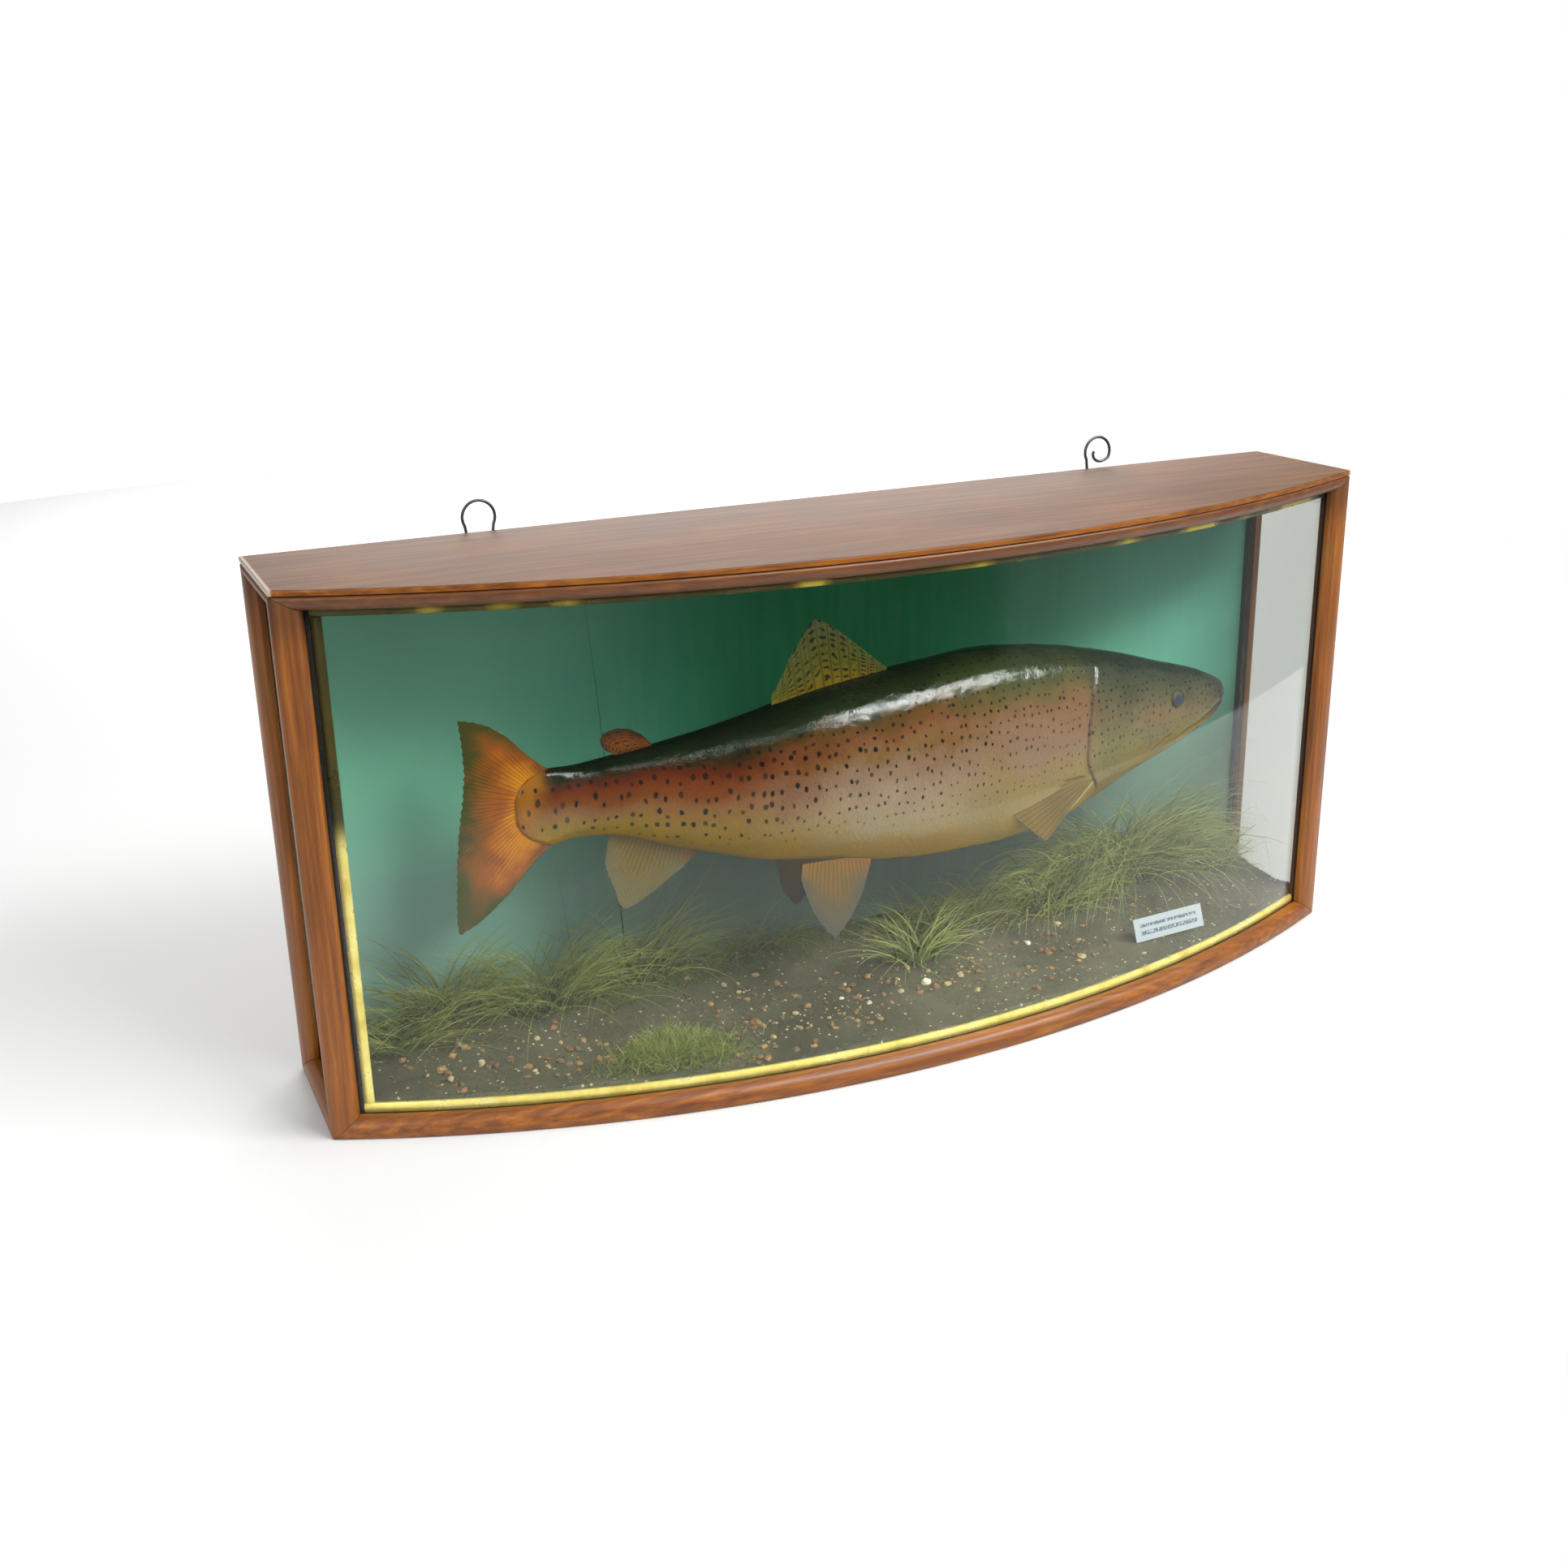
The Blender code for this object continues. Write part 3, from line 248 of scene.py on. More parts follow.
# ---- materials: the case ------------------------------------------------------------------------
def mahogany(name, grain, dusty_top=False):
    """French-polished mahogany, worn: orange-brown with fine dark pores along the grain."""
    made, tree, shader = new_material(name, Roughness=0.45, Coat_Weight=0.16, Coat_Roughness=0.3)
    # growth streaks 4 mm wide and 120 mm long; pores 0.5 mm wide and 12 mm long
    streaks = add_node(tree, "TexNoise",
        {"Vector": place_of(tree, [8 if axis == grain else 240 for axis in "XYZ"]), "Scale": 1.0,
            "Detail": 4.0, "Roughness": 0.55, "Distortion": 0.3})
    pores = add_node(tree, "TexNoise",
        {"Vector": place_of(tree, [80 if axis == grain else 2000 for axis in "XYZ"]), "Scale": 1.0,
            "Detail": 2.0})
    wood = add_node(tree, "ValToRGB", streaks,
        stops=((0.26, "#5c2c04"), (0.47, "#7a4206"), (0.6, "#8e500a"), (0.76, "#a46414")))
    pored = add_node(tree, "Mix", add_node(tree, "MapRange", pores, 0.6, 0.72, 0.0, 0.45, **SOFT), wood,
        "#381a04", **COLOURS)
    patches = add_node(tree, "TexNoise", {"Vector": place_of(tree), "Scale": 11.0, "Detail": 3.0})
    worn = add_node(tree, "Mix", add_node(tree, "MapRange", patches, 0.52, 0.75, 0.0, 0.35, **SOFT),
        pored, "#8a6228", **COLOURS)
    if dusty_top:
        # the upper face has lost its polish and holds a pinkish grey bloom of dust
        height = add_node(tree, "SeparateXYZ", place_of(tree)).node
        bloom = add_node(tree, "ValToRGB", streaks,
            stops=((0.3, "#4e3018"), (0.5, "#5c3c22"), (0.7, "#6a4c32")))
        dull = add_node(tree, "MapRange", height.outputs["Z"], HEIGHT - 0.0012, HEIGHT - 0.0002, **SOFT)
        smears = add_node(tree, "MapRange", patches, 0.35, 0.7, 1.0, 0.72, **SOFT)
        colour = add_node(tree, "Mix", add_node(tree, "Math", dull, smears, operation="MULTIPLY"), worn,
            bloom, **COLOURS)
        tree.links.new(
            add_node(tree, "MapRange", height.outputs["Z"], HEIGHT - 0.0012, HEIGHT - 0.0002, 0.34,
                0.62, **SOFT), shader.inputs["Roughness"])
        tree.links.new(
            add_node(tree, "MapRange", height.outputs["Z"], HEIGHT - 0.0012, HEIGHT - 0.0002, 0.2, 0.0,
                **SOFT), shader.inputs["Coat Weight"])
        shader.inputs["Specular IOR Level"].default_value = 0.3
        # both ends of the top are painted pale: partly wear on the end grain, partly a painted reflection of
        # the light on it
        end = add_node(tree, "Math", height.outputs["X"], operation="ABSOLUTE")
        rubbed = add_node(tree, "MapRange", end, WIDTH / 2 - 0.0035, WIDTH / 2 - 0.0012, 0.0, 0.65,
            **SOFT)
        colour = add_node(tree, "Mix", rubbed, colour, "#cbbfae", **COLOURS)
    else:
        # the faces turned into the case are painted near black: painted shade
        inside = add_node(tree, "SeparateXYZ", place_of(tree)).node
        off_end = add_node(tree, "MapRange",
            add_node(tree, "Math", inside.outputs["X"], operation="ABSOLUTE"), WIDTH / 2 - 0.012,
            WIDTH / 2 - 0.013, **SOFT)
        behind_glass = add_node(tree, "MapRange", inside.outputs["Y"], Y_CORNER + 0.02, Y_CORNER + 0.021,
            **SOFT)
        # the upper 50 mm of the frame, under the top board, is painted darker: painted shade
        shade_below_top = add_node(tree, "Math",
            add_node(tree, "MapRange", inside.outputs["Z"], HEIGHT - 0.05, HEIGHT - 0.02, **SOFT),
            add_node(tree, "MapRange", inside.outputs["Z"], HEIGHT - 0.0008, HEIGHT - 0.002, **SOFT),
            operation="MULTIPLY")
        shaded_wood = add_node(tree, "Mix", add_node(tree, "Math", shade_below_top, 0.55, operation="MULTIPLY"), worn,
            "#3a1a04", **COLOURS)
        colour = add_node(tree, "Mix", add_node(tree, "Math", off_end, behind_glass, operation="MULTIPLY"),
            shaded_wood, "#1e1a14", **COLOURS)
    tree.links.new(colour, shader.inputs["Base Color"])
    tree.links.new(add_node(tree, "Bump", {"Height": pores, "Distance": 0.00012, "Strength": 0.5}),
        shader.inputs["Normal"])
    return made


def gilt_finish():
    """Water gilding over wood, rubbed in patches; the upper slips are painted a darker olive gold with pale
    patches, a painted shade with painted reflections.
    """
    made, tree, shader = new_material("gilt_slip", Metallic=0.6, Roughness=0.30)
    wear = add_node(tree, "TexNoise",
        {"Vector": place_of(tree), "Scale": 38.0, "Detail": 5.0, "Roughness": 0.6})
    glint_patches = add_node(tree, "TexNoise",
        {"Vector": place_of(tree, (15, 9, 9)), "Scale": 1.0, "Detail": 1.0})
    gold = add_node(tree, "ValToRGB", wear,
        stops=((0.28, "#cbb04a"), (0.48, "#ecd874"), (0.66, "#f8ea94")))
    # the upper slips are painted dark olive as painted shade, with pale patches that are painted reflections
    height = add_node(tree, "SeparateXYZ", place_of(tree), output="Z")
    upper = add_node(tree, "MapRange", height, 0.215, 0.245, **SOFT)
    aged = add_node(tree, "ValToRGB", glint_patches,
        stops=((0.44, "#2e260a"), (0.58, "#3e320e"), (0.63, "#8c7420"), (0.66, "#cfb440")))
    colour = add_node(tree, "Mix", add_node(tree, "Math", upper, 0.95, operation="MULTIPLY"), gold,
        aged, **COLOURS)
    tree.links.new(colour, shader.inputs["Base Color"])
    tree.links.new(add_node(tree, "MapRange", wear, 0.35, 0.7, 0.42, 0.24, **SOFT),
        shader.inputs["Roughness"])
    tree.links.new(add_node(tree, "Bump", {"Height": wear, "Distance": 0.0001, "Strength": 0.3}),
        shader.inputs["Normal"])
    return made


def pane_glass(name, tint):
    """Old drawn window glass with a little grime; lamps shine straight through it."""
    made, tree, shader = new_material(name, Base_Color=tint, Roughness=0.0, IOR=1.33,
                                      Transmission_Weight=1.0)
    clear = add_node(tree, "BsdfTransparent", {"Color": tint}).node
    lamp = add_node(tree, "LightPath", output="Is Shadow Ray")
    mixed = add_node(tree, "MixShader", lamp, shader.outputs[0], clear.outputs[0]).node
    tree.links.new(mixed.outputs[0], tree.nodes["Material Output"].inputs["Surface"])
    return made


def painted_back():
    """The back board: distemper in water colours inside, with painted light and shade in it, bare brown wood
    outside.
    """
    made, tree, shader = new_material("distempered_board", Roughness=0.75)
    at = add_node(tree, "SeparateXYZ", place_of(tree)).node
    cloud = add_node(tree, "TexNoise",
        {"Vector": place_of(tree, (3.2, 3.2, 4.5)), "Scale": 1.0, "Detail": 2.0, "Roughness": 0.45})
    brush = add_node(tree, "TexNoise",
        {"Vector": place_of(tree, (160, 160, 14)), "Scale": 1.0, "Detail": 3.0})
    # the green is paler toward the ends, by the side panes, and darker in the middle: painted light and shade
    from_middle = add_node(tree, "Math",
        add_node(tree, "Math", at.outputs["X"], 0.04, operation="SUBTRACT"), operation="ABSOLUTE")
    shade_drift = add_node(tree, "Math", from_middle,
        add_node(tree, "Math", add_node(tree, "Math", cloud, 0.5, operation="SUBTRACT"), 0.2,
            operation="MULTIPLY"), operation="ADD")
    green = add_node(tree, "ValToRGB", add_node(tree, "MapRange", shade_drift, 0.02, 0.4, **SOFT),
        stops=((0.0, "#0c8050"), (0.34, "#3a8668"), (0.8, "#64a38a"), (1.0, "#76b79c")))
    # greyer low in the middle, under the fish: painted shadow
    low = add_node(tree, "Math", add_node(tree, "MapRange", at.outputs["Z"], 0.24, 0.09, **SOFT),
        add_node(tree, "MapRange", shade_drift, 0.34, 0.16, **SOFT), operation="MULTIPLY")
    wash_and_shade = add_node(tree, "Mix", add_node(tree, "Math", low, 0.9, operation="MULTIPLY"), green,
        "#566255", **COLOURS)
    left_low = add_node(tree, "Math", add_node(tree, "MapRange", at.outputs["Z"], 0.22, 0.08, **SOFT),
        add_node(tree, "MapRange", at.outputs["X"], -0.14, -0.36, **SOFT), operation="MULTIPLY")
    wash_and_shade = add_node(tree, "Mix", add_node(tree, "Math", left_low, 0.7, operation="MULTIPLY"), wash_and_shade,
        "#7a9690", **COLOURS)
    right_hand = add_node(tree, "Math", add_node(tree, "MapRange", at.outputs["X"], 0.24, 0.42, **SOFT),
        0.75, operation="MULTIPLY")
    wash_and_shade = add_node(tree, "Mix", right_hand, wash_and_shade, "#4a8a79", **COLOURS)
    right_low = add_node(tree, "Math", add_node(tree, "MapRange", at.outputs["Z"], 0.215, 0.12, **SOFT),
        add_node(tree, "MapRange", at.outputs["X"], 0.18, 0.29, **SOFT), operation="MULTIPLY")
    wash_and_shade = add_node(tree, "Mix", add_node(tree, "Math", right_low, 0.85, operation="MULTIPLY"), wash_and_shade,
        "#5c6f60", **COLOURS)
    brushed = add_node(tree, "Mix", add_node(tree, "MapRange", brush, 0.35, 0.7, 0.0, 0.05, **SOFT),
        wash_and_shade, "#7fb6a0", **COLOURS)
    outside = add_node(tree, "MapRange", at.outputs["Y"], Y_REAR - BACK_THICK + 0.001,
        Y_REAR - BACK_THICK + 0.002, **SOFT)
    bare = add_node(tree, "ValToRGB", brush, stops=((0.3, "#6e4a2a"), (0.7, "#94704a")))
    tree.links.new(add_node(tree, "Mix", outside, brushed, bare, **COLOURS),
        shader.inputs["Base Color"])
    return made


def paper_label():
    """White card gone cool grey, with rows of faded blue-grey marks too soft to read."""
    made, tree, shader = new_material("label_paper", Roughness=0.6)
    card = add_node(tree, "UVMap", uv_map="card")
    at = add_node(tree, "SeparateXYZ", card).node
    marks = add_node(tree, "TexNoise",
        {"Vector": add_node(tree, "Mapping", {"Vector": card, "Scale": (46, 7, 1)}), "Scale": 1.0,
            "Detail": 1.0})
    rows = None
    for middle, half in ((0.66, 0.085), (0.34, 0.11)):
        off = add_node(tree, "Math",
            add_node(tree, "Math", at.outputs["Y"], middle, operation="SUBTRACT"), operation="ABSOLUTE")
        row = add_node(tree, "MapRange", off, half, half * 0.6, **SOFT)
        rows = row if rows is None else add_node(tree, "Math", rows, row, operation="MAXIMUM")
    inside = add_node(tree, "MapRange",
        add_node(tree, "Math", add_node(tree, "Math", at.outputs["X"], 0.5, operation="SUBTRACT"),
            operation="ABSOLUTE"), 0.43, 0.4, **SOFT)
    ink = add_node(tree, "Math", add_node(tree, "Math", rows, inside, operation="MULTIPLY"),
        add_node(tree, "MapRange", marks, 0.38, 0.48, **SOFT), operation="MULTIPLY")
    colour = add_node(tree, "Mix", add_node(tree, "Math", ink, 0.95, operation="MULTIPLY"), "#979fa2",
        "#3a4654", **COLOURS)
    tree.links.new(colour, shader.inputs["Base Color"])
    return made


# ---- materials: the fish ------------------------------------------------------------------------
def spot_mask(tree, radius, share):
    """Round spots of a radius in mm on the unrolled skin, one to a cell on a share of the cells.

    The cells are SPOT_CELL wide at the snout and grow by SPOT_GROWTH of the way back.
    """
    behind = add_node(tree, "Attribute", output="Fac", attribute_name="back_from_snout")
    cell = add_node(tree, "Math", add_node(tree, "Math", behind, SPOT_GROWTH, operation="MULTIPLY"),
        SPOT_CELL, operation="ADD")
    back = add_node(tree, "Math",
        add_node(tree, "Math", add_node(tree, "Math", cell, SPOT_CELL, operation="DIVIDE"), math.e,
            operation="LOGARITHM"), SPOT_GROWTH, operation="DIVIDE")
    round_body = add_node(tree, "Math",
        add_node(tree, "Attribute", output="Fac", attribute_name="girth"), cell, operation="DIVIDE")
    unrolled = add_node(tree, "CombineXYZ", back, round_body, 0.0)
    wobble = add_node(tree, "TexNoise", {"Vector": unrolled, "Scale": 2.6, "Detail": 1.0},
        output="Color")
    shifted = add_node(tree, "VectorMath", wobble, (0.24, 0.24, 0.0), operation="MULTIPLY")
    where = add_node(tree, "VectorMath", unrolled, shifted, operation="ADD")
    cells = add_node(tree, "TexVoronoi", {"Vector": where, "Scale": 1.0, "Randomness": 0.62},
        voronoi_dimensions="2D").node
    chance = add_node(tree, "SeparateColor", cells.outputs["Color"]).node
    kept = add_node(tree, "Math", chance.outputs[0], share, operation="LESS_THAN")
    size = add_node(tree, "Math",
        add_node(tree, "Math", radius,
            add_node(tree, "MapRange", chance.outputs[1], 0.0, 1.0, 0.78, 1.22, **SOFT),
            operation="MULTIPLY"), cell, operation="DIVIDE")
    rim = add_node(tree, "Math", size, cells.outputs["Distance"], operation="SUBTRACT")
    ink = add_node(tree, "MapRange", chance.outputs[2], 0.0, 1.0, 0.75, 1.0, **SOFT)
    return add_node(tree, "Math",
        add_node(tree, "Math", add_node(tree, "MapRange", rim, -0.035, 0.035, **SOFT), kept,
            operation="MULTIPLY"), ink, operation="MULTIPLY")


def trout_colours(tree):
    """The painted markings, with painted shade in the creases, the same on the skin and on every scale."""
    band = add_node(tree, "Attribute", output="Fac", attribute_name="band")
    along = add_node(tree, "Attribute", output="Fac", attribute_name="along")
    cloud = add_node(tree, "TexNoise",
        {"Vector": place_of(tree), "Scale": 26.0, "Detail": 4.0, "Roughness": 0.6})
    shifted = add_node(tree, "Math", band,
        add_node(tree, "MapRange", cloud, 0.3, 0.7, -0.035, 0.035, **SOFT), operation="ADD")
    face = add_node(tree, "ValToRGB", shifted,
        stops=((0.0, "#6e5600"), (0.22, "#785e02"), (0.32, "#6a5810"), (0.42, "#62562c"),
            (0.52, "#594e34"), (0.59, "#4a442e"), (0.65, "#3c3c26"), (0.72, "#2e3220"),
            (0.82, "#182214"), (1.0, "#101c14")))
    fore = add_node(tree, "ValToRGB", shifted,
        stops=((0.0, "#9a7808"), (0.15, "#a0800e"), (0.25, "#8f7634"), (0.35, "#7e6c38"),
            (0.45, "#76603c"), (0.53, "#745c48"), (0.59, "#6e543a"), (0.65, "#64482a"),
            (0.71, "#4e441e"), (0.79, "#2a3414"), (1.0, "#121e10")))
    middle = add_node(tree, "ValToRGB", shifted,
        stops=((0.0, "#8c6a00"), (0.15, "#9b7600"), (0.25, "#8a6c28"), (0.35, "#8a7a58"),
            (0.45, "#846f58"), (0.53, "#78604c"), (0.59, "#684c2a"), (0.65, "#623a1c"),
            (0.71, "#4a3004"), (0.77, "#142006"), (1.0, "#081406")))
    aft = add_node(tree, "ValToRGB", shifted,
        stops=((0.0, "#806000"), (0.15, "#906c00"), (0.25, "#7c6206"), (0.35, "#765a1c"),
            (0.43, "#6e4a22"), (0.5, "#623206"), (0.59, "#582404"), (0.65, "#481802"),
            (0.705, "#281a04"), (0.76, "#0a1604"), (1.0, "#040e04")))
    front_half = add_node(tree, "Mix", add_node(tree, "MapRange", along, 0.38, 0.5, **SOFT), fore,
        middle, **COLOURS)
    body = add_node(tree, "Mix", add_node(tree, "MapRange", along, 0.56, 0.76, **SOFT), front_half, aft,
        **COLOURS)
    wrist_end = add_node(tree, "Mix",
        add_node(tree, "MapRange",
            add_node(tree, "Math", along,
                add_node(tree, "MapRange", cloud, 0.3, 0.7, -0.01, 0.01, **SOFT), operation="ADD"),
            0.945, 0.98, **SOFT), body, "#865204", **COLOURS)
    snout = add_node(tree, "Mix", add_node(tree, "MapRange", along, 0.06, 0.012, **SOFT), face,
        "#2c3026", **COLOURS)
    painted = add_node(tree, "Mix", add_node(tree, "MapRange", along, 0.262, 0.228, **SOFT), wrist_end,
        snout, **COLOURS)
    blush = add_node(tree, "Attribute", output="Fac", attribute_name="blush")
    flushed = add_node(tree, "Mix", add_node(tree, "Math", blush, 0.42, operation="MULTIPLY"), painted,
        "#7a5640", **COLOURS)
    pale = add_node(tree, "Attribute", output="Fac", attribute_name="pale")
    lit = add_node(tree, "Mix", add_node(tree, "Math", pale, 0.8, operation="MULTIPLY"), flushed,
        "#6a6a38", **COLOURS)
    # small round black spots from the head to the tail, larger and darker toward the tail
    above = add_node(tree, "Math", band,
        add_node(tree, "MapRange", along, 0.55, 0.85, 0.36, 0.19, **SOFT), operation="SUBTRACT")
    flank = add_node(tree, "MapRange", above, -0.09, 0.08, **SOFT)
    radius = add_node(tree, "Math", add_node(tree, "MapRange", along, 0.25, 0.85, 1.02, 1.72, **SOFT),
        add_node(tree, "MapRange", above, 0.0, 0.24, 0.66, 1.0, **SOFT), operation="MULTIPLY")
    dots = spot_mask(tree, radius, 0.97)
    strength = add_node(tree, "Math", add_node(tree, "MapRange", along, 0.22, 0.62, 0.8, 1.0, **SOFT),
        add_node(tree, "MapRange", band, 0.5, 0.7, 0.0, 0.2, **SOFT), operation="ADD", use_clamp=True)
    dark = add_node(tree, "Math", add_node(tree, "Math", dots, flank, operation="MULTIPLY"), strength,
        operation="MULTIPLY")
    spotted = add_node(tree, "Mix", dark, lit, "#0d0c06", **COLOURS)
    # creases, the gill cover's free edge, the eye's rim and the nostrils are painted dark: painted shade
    crease_shade = add_node(tree, "Attribute", output="Fac", attribute_name="crease_shade")
    return add_node(tree, "Mix", add_node(tree, "Math", crease_shade, 0.85, operation="MULTIPLY"), spotted,
        "#241c10", **COLOURS)


def fish_skin(name, coat):
    """Dried trout skin, painted in oils and varnished: wet-looking, with a hard clear coat."""
    made, tree, shader = new_material(name, Roughness=0.6, Coat_Weight=coat, Coat_Roughness=0.07,
                                      Specular_IOR_Level=0.05)
    tree.links.new(trout_colours(tree), shader.inputs["Base Color"])
    # varnish pooled into dimples about 2 mm across, over shallow puckers about 12 mm long
    dimples = add_node(tree, "TexNoise",
        {"Vector": place_of(tree), "Scale": 330.0, "Detail": 4.0, "Roughness": 0.65})
    puckers = add_node(tree, "TexNoise", {"Vector": place_of(tree), "Scale": 82.0, "Detail": 2.0})
    uneven = add_node(tree, "Math", add_node(tree, "Math", dimples, 0.17, operation="MULTIPLY"),
        add_node(tree, "Math", puckers, 0.75, operation="MULTIPLY"), operation="ADD")
    tree.links.new(add_node(tree, "Bump", {"Height": dimples, "Distance": 0.0016, "Strength": 0.8}),
        shader.inputs["Normal"])
    tree.links.new(add_node(tree, "Bump", {"Height": uneven, "Distance": 0.0011, "Strength": 1.0}),
        shader.inputs["Coat Normal"])
    # and laid on unevenly, in patches a few centimetres long
    patches = add_node(tree, "TexNoise", {"Vector": place_of(tree), "Scale": 34.0, "Detail": 3.0})
    tree.links.new(add_node(tree, "MapRange", patches, 0.42, 0.62, 0.04, 0.12, **SOFT),
        shader.inputs["Coat Roughness"])
    # the loin has lost most of its shine
    along = add_node(tree, "Attribute", output="Fac", attribute_name="along")
    worn = add_node(tree, "Math", add_node(tree, "MapRange", along, 0.56, 0.64, **SOFT),
        add_node(tree, "MapRange", along, 0.93, 0.89, **SOFT), operation="MULTIPLY")
    full = add_node(tree, "Math",
        add_node(tree, "MapRange", patches, 0.36, 0.56, coat, 0.7 * coat, **SOFT),
        add_node(tree, "Math", 1.0, add_node(tree, "Math", worn, 0.86, operation="MULTIPLY"),
            operation="SUBTRACT"), operation="MULTIPLY")
    tree.links.new(full, shader.inputs["Coat Weight"])
    return made


def fin_finish(name, root, middle, edge, rays, spots=0.0, margin_colour=None, lead_colour=None):
    """Dried fin: translucent membrane painted between darker bony rays, under thin varnish."""
    made, tree, shader = new_material(name, Roughness=0.5, Coat_Weight=0.2, Coat_Roughness=0.15,
                                      Specular_IOR_Level=0.2)
    reach = add_node(tree, "Attribute", output="Fac", attribute_name="reach")
    across = add_node(tree, "Attribute", output="Fac", attribute_name="across")
    cloud = add_node(tree, "TexNoise", {"Vector": place_of(tree), "Scale": 60.0, "Detail": 4.0})
    outward = add_node(tree, "Math", reach,
        add_node(tree, "MapRange", cloud, 0.3, 0.7, -0.14, 0.14, **SOFT), operation="ADD")
    colour = add_node(tree, "ValToRGB", outward, stops=((0.0, root), (0.45, middle), (0.95, edge)))
    if margin_colour:
        side = add_node(tree, "Math", add_node(tree, "Math", across, 0.5, operation="SUBTRACT"),
            operation="ABSOLUTE")
        margin = add_node(tree, "Math", side,
            add_node(tree, "MapRange", cloud, 0.3, 0.7, -0.06, 0.06, **SOFT), operation="ADD")
        colour = add_node(tree, "Mix", add_node(tree, "MapRange", margin, 0.34, 0.5, 0.0, 0.85, **SOFT),
            colour, margin_colour, **COLOURS)
    if lead_colour:
        front = add_node(tree, "Math", across,
            add_node(tree, "MapRange", cloud, 0.3, 0.7, -0.04, 0.04, **SOFT), operation="ADD")
        colour = add_node(tree, "Mix", add_node(tree, "MapRange", front, 0.18, 0.04, 0.0, 0.9, **SOFT),
            colour, lead_colour, **COLOURS)
    # rays fork once on their way out, so the lines double toward the edge
    single = add_node(tree, "Math",
        add_node(tree, "Math", add_node(tree, "Math", across, rays * math.pi, operation="MULTIPLY"),
            operation="SINE"), operation="ABSOLUTE")
    double = add_node(tree, "Math",
        add_node(tree, "Math", add_node(tree, "Math", across, rays * 2 * math.pi, operation="MULTIPLY"),
            operation="SINE"), operation="ABSOLUTE")
    wave = add_node(tree, "Mix", add_node(tree, "MapRange", reach, 0.35, 0.65, **SOFT), single, double)
    ray = add_node(tree, "MapRange", wave, 0.6, 0.05, 0.0, 0.6, **SOFT)
    colour = add_node(tree, "Mix", ray, colour, "#2e2008", **COLOURS)
    if spots:
        # black spots sit on the membrane between the rays, in ragged rows
        along_ray = add_node(tree, "Math", reach, 8.0, operation="MULTIPLY")
        row = add_node(tree, "Math", along_ray,
            add_node(tree, "Math", cloud, 2.6, operation="MULTIPLY"), operation="ADD")
        waves = add_node(tree, "Math", add_node(tree, "Math", row, 2 * math.pi, operation="MULTIPLY"),
            operation="SINE")
        blob = add_node(tree, "Math", add_node(tree, "MapRange", waves, 0.05, 0.6, **SOFT),
            add_node(tree, "MapRange", single, 0.42, 0.74, **SOFT), operation="MULTIPLY")
        thin = add_node(tree, "TexNoise", {"Vector": place_of(tree), "Scale": 210.0, "Detail": 1.0})
        blob = add_node(tree, "Math", blob, add_node(tree, "MapRange", thin, 0.36, 0.5, **SOFT),
            operation="MULTIPLY")
        colour = add_node(tree, "Mix", add_node(tree, "Math", blob, spots, operation="MULTIPLY"),
            colour, "#0d0c06", **COLOURS)
    tree.links.new(colour, shader.inputs["Base Color"])
    return made


def eye_finish():
    """A blown glass eye gone dull: a dark blue-grey pupil in a dull olive-brown iris, darker at its rim."""
    made, tree, shader = new_material("glass_eye_paint", Roughness=0.5, Coat_Weight=0.12, Coat_Roughness=0.2,
                                      Specular_IOR_Level=0.2)
    out = add_node(tree, "Attribute", output="Fac", attribute_name="from_pupil")
    haze = add_node(tree, "TexNoise", {"Vector": place_of(tree), "Scale": 420.0, "Detail": 3.0})
    ring = add_node(tree, "Math", out, add_node(tree, "MapRange", haze, 0.3, 0.7, -0.05, 0.05, **SOFT),
        operation="ADD")
    iris = add_node(tree, "ValToRGB", ring,
        stops=((0.0, "#20263a"), (0.3, "#282e42"), (0.39, "#33352f"), (0.46, "#3e3a24"),
            (0.7, "#3a3622"), (0.95, "#24211a")))
    tree.links.new(iris, shader.inputs["Base Color"])
    return made


